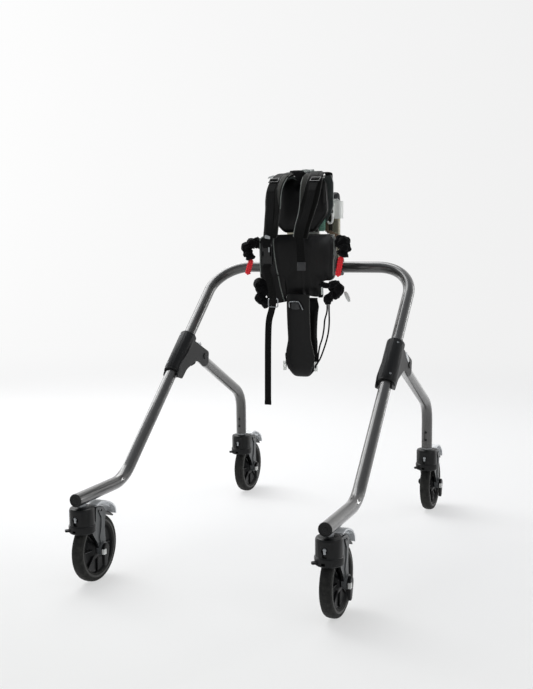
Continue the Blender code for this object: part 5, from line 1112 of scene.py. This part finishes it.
def makePaddedStrap(side, hand):
    # a superellipse whose half width, turn and thickness change along the route, with trims on its edges
    steps, thick = padded["steps"], padded["thick"]
    table = np.column_stack([mirrorX(padded["route"], side), padded["halves"], padded["turns"]])
    if side < 0:
        lower = belowShoulder(table[:, 2])
        table[:, 0] += padded["closer"] * lower
        table[:, 3] += padded["wider"] * lower
    line = curveThrough(table[:, :3], steps)
    # half width and turn are read off at the route's own share of its length
    t = np.linspace(0, 1, steps)
    share = travelled(table[:, :3]) / travelled(table[:, :3])[-1]
    halves, turn = (runningMean(np.interp(t, share, table[:, k]), padded["evened"]) for k in (3, 4))
    acrossStrap = np.stack([np.ones(steps), side * turn, np.zeros(steps)], 1)
    # the ends close in a quarter ellipse over the last few millimetres
    ends = np.minimum(t, t[::-1]) * travelled(line)[-1]
    close = np.sqrt(np.clip(1 - (1 - np.clip(ends / padded["endRound"], 0, 1)) ** 2, 0.02, 1))
    ripple = 1 + padded["ripple"] * np.sin(np.linspace(0, padded["rippleAngle"], steps))
    rippled = thick * (0.45 + 0.55 * close) * ripple
    sections = bandSections(halves * (0.8 + 0.2 * close), rippled, 3.0, 36)
    band = addPiece(f"padded_strap_{hand}", [patch(swept(line, sections, acrossStrap))], strapCloth)
    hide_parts(f"shoulder_strap_{hand}")

    _, across, face = directions(line, acrossStrap)
    reach = ((halves - trim["inset"]) * side)[:, None]
    outer, inner = line + across * reach + face * trim["lift"], line - across * reach + face * trim["lift"]
    dark, highlit = trim["darkTo"], trim["highlightTo"][hand]
    welts = [tube(outer[2:-1], trim["radius"], 10), tube(inner[2:dark], trim["radius"], 10)]
    if side < 0:
        welts.append(tube(inner[highlit:-1], trim["radius"], 10))
    # the inner welt between these steps is pale: painted highlight
    addPiece(f"padded_strap_welt_highlight_{hand}", [tube(inner[dark - 1:highlit + 1], trim["radius"] + 0.0001, 10)],
             weltHighlight)
    hem = line[-2] + face[-2] * 0.001 + np.linspace(-1, 1, 14)[:, None] * (halves[-2] - 0.001) * across[-2]
    welts.append(tube(hem, trim["hemRadius"], 10, (0, 1, 0)))
    # a pale facing lies on the inner part of the band from its crest down, and narrows to nothing
    run = trim["facing"]
    t = np.linspace(0, 1, run.stop - run.start)
    width = trim["facingWidth"] * (1 - t ** 1.6) + 0.0006
    start = -side * (halves[run] - trim["facingInset"])
    facing = line[run] + across[run] * (start + side * width / 2)[:, None] + face[run] * (thick / 2 - 0.0001)
    sections = bandSections(width / 2, trim["facingThick"], 3.0, 20)
    addPiece(f"strap_facing_{hand}", [patch(swept(facing, sections, acrossStrap[run]))], facingGrey)
    seam = line[run] + across[run] * (start + side * width)[:, None] + face[run] * (thick / 2 + 0.0002)
    welts.append(tube(seam, trim["seamRadius"], 8))
    addPiece(f"padded_strap_welts_{hand}", welts, pipingVinyl)
    for offset in (trim["stitches"], -trim["stitches"]):
        threads.extend(stitchRow(line[6:-3], acrossStrap[6:-3], offset, thick / 2 - 0.0004))


def makeWebbing(side, hand):
    # a ribbon up over the shell, through the ladder buckle and down the padded band: the left one goes on
    # into the side buckle, and the right one hangs free
    route = np.concatenate([curveThrough(webbing["back"], 40), overLadder(),
                            curveThrough(webbing["front"], 60)])
    route = mirrorX(route, side)
    if side < 0:
        above = np.clip((route[:, 2] - webbing["backFrom"]) / webbing["backOver"], 0, 1)
        route[:, 0] += webbing["closer"] * belowShoulder(route[:, 2]) * above
        route = np.concatenate([route, throughSlot(1)])
    else:
        route = np.concatenate([route, curveThrough([route[-1], *webbing["end"]], 24)[1:]])
    thinned = route[::2] if len(route) % 2 else np.concatenate([route[::2], route[-1:]])
    route = curveThrough(thinned, 170)
    strip = addPiece(f"shoulder_webbing_{hand}", [ribbon(route, webbing["half"], webbing["thick"])],
                     webbingBlack)
    # box stitch where the webbing is sewn to the padded band
    off = np.where(route[:, 1] > webbing["sewnBefore"], 9, abs(route[:, 2] - webbing["sewnNear"]))
    sewn = route[np.argmin(off):][:webbing["sewnSteps"]]
    for offset in (-webbing["stitches"], webbing["stitches"]):
        threads.extend(stitchRow(sewn, (1, 0, 0), offset, webbing["thick"] / 2))


for side, hand in ((1, "right"), (-1, "left")):
    makePaddedStrap(side, hand)
    makeWebbing(side, hand)

endTab = {"half": np.array([0.0128, 0.0022, 0.0125]), "at": np.array([0.0546, -0.2523, 0.8235])}
addPiece("webbing_end_tab", [box(endTab["at"] - endTab["half"], endTab["at"] + endTab["half"], 0.0009)],
         armGrey)
print("shoulder straps done")

# Left strap below its buckle, the ring it turns round, and its loose tail

tail = {"route": [(-0.0478, -0.233, 0.748), (-0.05, -0.22, 0.713), (-0.06, -0.208, 0.688),
                  (-0.072, -0.201, 0.652), (-0.0755, -0.2, 0.59), (-0.0768, -0.2, 0.5),
                  (-0.0778, -0.2, 0.396)],
        "half": 0.0106, "narrowFrom": 0.735, "hem": 0.012}
loop = throughSlot(-1)[::-1]
below = tuple(buckle["centre"] + (0.003, 0.001, -0.062))
tailLine = np.concatenate([loop[:-1], curveThrough([loop[-1], below, *tail["route"]], 110)])
tailHalf = runningMean(np.where(tailLine[:, 2] > tail["narrowFrom"], webbing["half"], tail["half"]), 3)
sections = bandSections(tailHalf, webbing["thick"], 6.0, 20)
hanging = addPiece("hanging_webbing", [patch(swept(tailLine, sections))], webbingBlack)
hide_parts("hanging_strap")
hemLine = np.array(tail["route"][-1]) + np.linspace(0, 1, 6)[:, None] * (0, 0, tail["hem"]) + (0, 0, 0.0015)
addPiece("hanging_webbing_hem", [ribbon(hemLine, tail["half"] + 0.0003, 0.0036)], webbingBlack)

ring = {"wire": 0.0017, "corners": [(-0.066, -0.216, 0.7), (-0.0355, -0.2175, 0.6995),
                                    (-0.0325, -0.223, 0.725), (-0.064, -0.2215, 0.725)]}
ringLine = onQuad(ring["corners"], closedOutline(unitSquare, [0.12] * 4, 0.06))
turnsRound = np.concatenate([ringLine[-1:], ringLine, ringLine[:2]])
addPiece("strap_ring", [patch(swept(turnsRound, ringSection(ring["wire"]), (0, 1, 0))[1:-1], caps=False)],
         zincSteel)
print("hanging strap done")

# Saddle: a padded hairpin, its welts and the cords' elastic tunnels

saddle = {"thick": 0.012, "front": -0.137, "rear": -0.098, "top": 0.733, "low": 0.474, "steps": 150,
          "hips": (0.6, 0.037), "seat": (0.548, 0.0455), "wider": 0.0075, "backwards": 0.012,
          # steps at which the front panel's welts end and the rear panel starts, and the lowest welt
          "weltTo": 75, "rearFrom": 80, "weltAbove": 0.5, "weltRadius": 0.0014, "weltInset": 0.0012,
          "weltLift": 0.0034,
          # it ends under the pelvis pad, at this share of the pad's depth
          "rimShare": 0.62}


def saddleHalf(z):
    # narrow at the hips, a smooth step out to the seat, then a half ellipse that closes the end
    (hipZ, hipHalf), (seatZ, seatHalf) = saddle["hips"], saddle["seat"]
    t = np.clip((hipZ - z) / (hipZ - seatZ), 0, 1)
    step = hipHalf + (seatHalf - hipHalf) * (3 - 2 * t) * t * t
    d = np.clip((seatZ - z) / (seatZ - saddle["low"] + 0.003), 0, 1)
    return np.where(z > seatZ, step, seatHalf * np.sqrt(1 - d ** 2) + 0.003)


bend = (saddle["rear"] - saddle["front"]) / 2
middle = (saddle["front"] + saddle["rear"]) / 2 + saddle["backwards"]
lowLine = saddle["low"] + saddle["thick"] / 2
rimAt = pelvisPad["front"] + (pelvisPad["back"] - pelvisPad["front"]) * saddle["rimShare"]
saddleRoute = [(0, saddle["front"], saddle["top"]), (0, saddle["front"], 0.69),
               (0, saddle["front"] + 0.004, 0.64), (0, saddle["front"] + 0.01, 0.59),
               (0, saddle["front"] + 0.013, 0.545), (0, middle - bend * 0.9, 0.51),
               (0, middle - bend * 0.5, lowLine + 0.006), (0, middle, lowLine),
               (0, middle + bend * 0.5, lowLine + 0.006), (0, middle + bend * 0.9, 0.51),
               (0, saddle["rear"] + 0.006, 0.56), (0, saddle["rear"] + 0.006, 0.62),
               (0, saddle["rear"] + 0.015, 0.67), (0, rimAt - 0.002, 0.704), (0, rimAt, 0.7192)]
saddleLine = curveThrough(saddleRoute, saddle["steps"])
height = saddleLine[:, 2]
rearPanel = np.arange(saddle["steps"]) > saddle["rearFrom"]
# the rear panel stands wider than the front one above the seat
wider = saddle["wider"] * np.clip((height - 0.555) / 0.03, 0, 1) * np.clip((0.712 - height) / 0.02, 0, 1)
saddleHalves = saddleHalf(height) + np.where(rearPanel, wider, 0)
sections = bandSections(saddleHalves, saddle["thick"] * 0.98, 3.2, 48)
sling = addPiece("saddle_sling_cover", [patch(swept(saddleLine, sections))], padVinyl, crease=70)
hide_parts("saddle_sling")
_, across, face = directions(saddleLine, (1, 0, 0))
inFront = (height > saddle["weltAbove"]) & (np.arange(saddle["steps"]) < saddle["weltTo"])
reach = (saddleHalves - saddle["weltInset"])[:, None]
edges = [saddleLine + across * (reach * side) + face * saddle["weltLift"] for side in (1, -1)]
addPiece("saddle_sling_welts", [tube(edge[inFront], saddle["weltRadius"], 10) for edge in edges], pipingVinyl)

# each tunnel: its route, how fat it is gathered, and where its pleats start
elastic = {"radius": 0.0122, "ribs": 5.5, "steps": 130, "swell": 0.2, "belly": 0.16, "pleats": (0.1, 0.05),
           "creases": (0.035, 0.04)}
tunnels = {
    "upper_right": {"fat": 1.22, "seed": 1.4,
                    "route": [(0.12365, -0.1226, 0.888), (0.1316, -0.123, 0.8884), (0.142, -0.148, 0.894),
                              (0.154, -0.16, 0.892), (0.161, -0.1665, 0.882), (0.157, -0.167, 0.868),
                              (0.149, -0.1665, 0.85)]},
    "lower_right": {"fat": 1.0, "seed": 2.7,
                    "route": [(0.096, -0.0986, 0.7729), (0.0962, -0.0991, 0.7659), (0.103, -0.1116, 0.7569),
                              (0.118, -0.133, 0.762), (0.131, -0.142, 0.757), (0.1325, -0.141, 0.744),
                              (0.123, -0.137, 0.737), (0.108, -0.135, 0.732), (0.0962, -0.135, 0.72),
                              (0.0962, -0.135, 0.7033)]},
    "upper_left": {"fat": 1.08, "seed": -0.6,
                   "route": [(-0.12365, -0.1226, 0.888), (-0.1316, -0.123, 0.8884), (-0.14, -0.148, 0.893),
                             (-0.152, -0.16, 0.886), (-0.16, -0.1665, 0.876), (-0.156, -0.167, 0.864),
                             (-0.148, -0.1665, 0.852), (-0.144, -0.167, 0.84)]},
    "lower_left": {"fat": 1.12, "seed": 0.7,
                   "route": [(-0.096, -0.0986, 0.7729), (-0.0962, -0.0991, 0.7659), (-0.103, -0.1116, 0.76),
                             (-0.118, -0.131, 0.765), (-0.131, -0.139, 0.763), (-0.127, -0.14, 0.75),
                             (-0.116, -0.138, 0.742), (-0.123, -0.14, 0.726), (-0.123, -0.14, 0.714),
                             (-0.108, -0.138, 0.706), (-0.0962, -0.135, 0.7033)]}}


def gathered(route, radius, seed):
    # a tunnel gathered on a cord: r = R (1 + swell along + pleats round it + finer creases), where each is
    # a sine of the turn round it and the length along it, so the pleats twist as they go
    line = curveThrough(route, elastic["steps"])
    t = np.linspace(0, 1, elastic["steps"])[:, None]
    a = np.linspace(0, 2 * pi, 40, endpoint=False)[None]
    turns = 2 * pi * elastic["ribs"] * t
    swell = elastic["swell"] * np.sin(turns + seed) + elastic["belly"] * np.sin(pi * t)
    broad, narrow = elastic["pleats"]
    pleats = (broad * np.sin(5 * a + 9 * t + seed) * np.sin(turns * 0.5 + 1.3 * seed)
              + narrow * np.sin(9 * a - 22 * t + 2 * seed))
    slanting, level = elastic["creases"]
    creases = slanting * np.sin(14 * a + 60 * t + seed) + level * np.sin(turns * 3.3 + 2 * a)
    ends = np.clip(np.minimum(t / 0.05, (1 - t) / 0.05), 0, 1) ** 0.5
    r = radius * (1 + swell + pleats + creases) * (0.45 + 0.55 * ends)
    _, side, face = directions(line, (0.2, 1, 0.1))
    u, v = (r * np.cos(a))[..., None], (r * np.sin(a))[..., None]
    return line[:, None] + side[:, None] * u + face[:, None] * v


for name, tunnel in tunnels.items():
    grid = gathered(tunnel["route"], elastic["radius"] * tunnel["fat"], tunnel["seed"])
    piece = addPiece(f"gathered_elastic_{name}", [patch(grid)], elasticBlack, crease=60)
    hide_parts(f"elastic_sleeve_{name}")

# the adjusting cord repeats its CAD route: down from the right tunnel, round the sling's clip and up again
cord = {"diameter": 0.005, "top": 0.7027, "clipFront": -0.1275, "clipHeight": 0.525, "clipGap": 0.0003,
        "clipReach": 0.0048}
clipX = float(saddleHalf(np.array(cord["clipHeight"]))) + cord["clipGap"] + cord["clipReach"]
clipFront, cordTop = cord["clipFront"], cord["top"]
cordRoute = [(0.099, -0.135, cordTop), (0.099, -0.135, 0.688), (0.099, -0.1335, 0.65),
             (0.0955, -0.1325, 0.618), (0.0885, -0.132, 0.59), (0.079, -0.132, 0.562),
             (0.069, -0.1325, 0.537), (0.059, -0.133, 0.521), (clipX + 0.001, clipFront - 0.0034, 0.5125),
             (clipX, clipFront + 0.001, 0.509), (clipX, clipFront + 0.008, 0.509),
             (clipX + 0.0008, clipFront + 0.0128, 0.515), (0.0545, -0.113, 0.532),
             (0.0565, -0.112, 0.553), (0.062, -0.114, 0.576), (0.071, -0.119, 0.598),
             (0.0785, -0.1245, 0.627), (0.083, -0.129, 0.656), (0.0905, -0.1335, 0.677),
             (0.093, -0.135, 0.69), (0.093, -0.135, cordTop)]
cordLine = curveThrough(cordRoute, 160)
cordPiece = addPiece("saddle_adjusting_cord", [tube(cordLine, cord["diameter"] / 2, 14)], elasticBlack)
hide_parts("saddle_cord")
tuple(moved(cordLine[:1])[0].tolist())
moved(cordLine).tolist()
print("saddle done", round(float(travelled(cordLine)[-1]), 4))

addPiece("stitching", threads, webbingBlack, closed=False)

# Red pulls: a braided tab hanging from each upper tunnel, which bulges at every crossing:
# half width (1 + 0.16 sin(8 turns))

pull = {"half": 0.0082, "thick": 0.0064, "crossings": 8,
        "right": [(0.15, -0.1665, 0.852), (0.147, -0.168, 0.839), (0.144, -0.169, 0.82),
                  (0.141, -0.17, 0.805), (0.1395, -0.17, 0.79)],
        "left": [(-0.144, -0.167, 0.842), (-0.145, -0.169, 0.832), (-0.149, -0.17, 0.818),
                 (-0.1525, -0.17, 0.807), (-0.155, -0.17, 0.794)]}
for hand in ("right", "left"):
    t = np.linspace(0, 1, 60)
    bulge = 1 + 0.16 * np.sin(2 * pi * pull["crossings"] * t)
    sections = bandSections(pull["half"] * bulge * np.clip(np.minimum(t, 1 - t) * 14, 0.35, 1),
                            pull["thick"], 2.4, 20)
    addPiece(f"red_pull_{hand}", [patch(swept(curveThrough(pull[hand], 60), sections, (1, 0.2, 0)))], pullRed)
print("pulls done")

# Small fittings that the photograph shows about the shell, the hip pad and the saddle, and pale streaks that
# paint highlights on two buckles:
# flat pieces, each with its material, its thickness, the y of its four corners (one for all or one for each)
# and their x and z

slabs = {
    "teal_band": (tealStrap, 0.004, -0.05,
                  [(0.0367, 0.926), (0.058, 0.926), (0.058, 0.974), (0.0367, 0.974)]),
    "olive_band": (oliveStrap, 0.004, -0.052,
                   [(0.025, 0.924), (0.0345, 0.924), (0.0345, 0.944), (0.025, 0.944)]),
    "brown_band": (brownStrap, 0.004, -0.044,
                   [(0.056, 0.924), (0.066, 0.924), (0.066, 0.951), (0.056, 0.953)]),
    "shell_side_web": (oliveStrap, 0.006, -0.036,
                       [(0.054, 0.946), (0.072, 0.95), (0.08, 0.99), (0.064, 1.01)]),
    "shell_lower_web": (oliveStrap, 0.006, -0.034,
                        [(0.058, 0.918), (0.077, 0.92), (0.077, 0.962), (0.056, 0.955)]),
    "side_bracket": (brownStrap, 0.004, (-0.062, -0.046, -0.046, -0.062),
                     [(0.069, 0.922), (0.098, 0.901), (0.106, 0.912), (0.078, 0.929)]),
    "right_gusset_end": (padVinyl, 0.006, (-0.108, -0.114, -0.114, -0.108),
                         [(0.056, 0.723), (0.074, 0.724), (0.073, 0.76), (0.056, 0.76)]),
    "pale_tag": (clearCap, 0.0016, -0.123,
                 [(0.07, 0.733), (0.075, 0.733), (0.075, 0.756), (0.07, 0.756)]),
    # a pale streak that paints the highlight on the left ladder buckle
    "ladder_highlight_left": (knobPale, 0.003, (-0.172, -0.164, -0.16, -0.168),
                         [(-0.083, 1.085), (-0.066, 1.09), (-0.066, 1.096), (-0.082, 1.091)]),
    "keeper": (zincSteel, 0.003, -0.2555,
               [(-0.059, 0.906), (-0.042, 0.903), (-0.042, 0.912), (-0.059, 0.916)]),
    # a pale metal streak that paints the glint on the side buckle
    "buckle_glint": (zincSteel, 0.0012, -0.26,
                     [(-0.0465, 0.865), (-0.0425, 0.865), (-0.0425, 0.88), (-0.0465, 0.88)]),
    "white_tongue": (markWhite, 0.003, -0.132,
                     [(0.158, 0.712), (0.169, 0.715), (0.156, 0.746), (0.144, 0.742)]),
    "grey_head_block": (shellGrey, 0.008, -0.09,
                        [(0.012, 1.093), (0.047, 1.093), (0.047, 1.108), (0.012, 1.1085)]),
    "head_cap": (clearCap, 0.014, -0.06,
                 [(-0.022, 1.107), (0.024, 1.106), (0.015, 1.116), (-0.011, 1.1165)]),
    # the generic slide at the saddle's head: a dark plate in a bent wire
    "saddle_slide_plate": (armGrey, 0.005, -0.1435,
                           [(-0.019, 0.688), (0.009, 0.688), (0.004, 0.708), (-0.019, 0.708)]),
}
# corner radius as a share of the sides; the others have 0.22
rounder = {"white_tongue": 0.4, "head_cap": 0.4}
edgeRings = ((0.001, 0.0), (0.97, 0.0), (1.0, 0.08), (1.0, 0.92), (0.96, 1.0), (0.001, 1.0))

for name, (material, thick, depth, corners) in slabs.items():
    # thickened towards the open front, with rounded edges: rings at shares of its outline and thickness
    x, z = np.array(corners, float).T
    outline = closedOutline(unitSquare, [rounder.get(name, 0.22)] * 4, 0.03)
    flat = onQuad(np.column_stack([x, np.broadcast_to(depth, 4), z]), outline)
    middle = flat.mean(0)
    rings = [middle + (flat - middle) * scale - (0, thick * share, 0) for scale, share in edgeRings]
    addPiece(name, [patch(np.array(rings), caps=False)], material)

# black cloth bridges the notch under the right wing, past the pale tag
bridge = {"route": [(0.07, -0.118, 0.764), (0.086, -0.122, 0.761), (0.102, -0.126, 0.762),
                    (0.118, -0.13, 0.765), (0.13, -0.133, 0.772)],
          "halves": (0.0095, 0.0065), "thick": 0.01, "lean": (0, 0.1, 1)}
sections = bandSections(np.linspace(*bridge["halves"], 40), bridge["thick"], 2.6, 30)
grid = swept(curveThrough(bridge["route"], 40), sections, bridge["lean"])
addPiece("right_gusset", [patch(grid)], elasticBlack)
addPiece("shell_rivet", [screwHead((0.064, -0.083, 1.0905), (0.2, -1, 0.2), 0.0035)], markWhite, closed=False)
hook = {"half": 0.0055, "thick": 0.0055,
        "route": [(0.066, -0.05, 0.956), (0.07, -0.051, 0.95), (0.077, -0.05, 0.951),
                  (0.081, -0.05, 0.96), (0.0805, -0.049, 0.981)]}
section = slabSection(hook["half"], hook["thick"], 3.0, 20)
addPiece("white_hook", [patch(swept(curveThrough(hook["route"], 40), section, (0, 1, 0)))], markWhite)
slide = {"wire": 0.0017,
         "route": [(-0.025, -0.1485, 0.693), (-0.0255, -0.149, 0.708), (-0.02, -0.149, 0.7115),
                   (-0.002, -0.149, 0.7118), (0.007, -0.149, 0.7095), (0.019, -0.1485, 0.687)]}
addPiece("saddle_slide_wire", [tube(curveThrough(slide["route"], 60), slide["wire"], across=(0, 1, 0))],
         zincSteel)

# the domed knob on the carriage block: twelve ribs run round a quarter of an ellipse
dome = {"at": (0.0625, 0.035, 1.019), "ribs": 12,
        "profile": [(0.0001, 0.029), (0.005, 0.0285), (0.009, 0.0262), (0.012, 0.022), (0.0138, 0.015),
                    (0.0143, 0.006), (0.0143, -0.001)]}
grid = turnedProfile(dome["profile"], 48, (0, 0, 0), "z")
ribs = 1 + 0.03 * np.sin(dome["ribs"] * np.arctan2(grid[..., 1], grid[..., 0]))
addPiece("ribbed_dome", [patch(grid * ribs[..., None] + dome["at"], caps=False)], armGrey, closed=False)
print("fittings done")
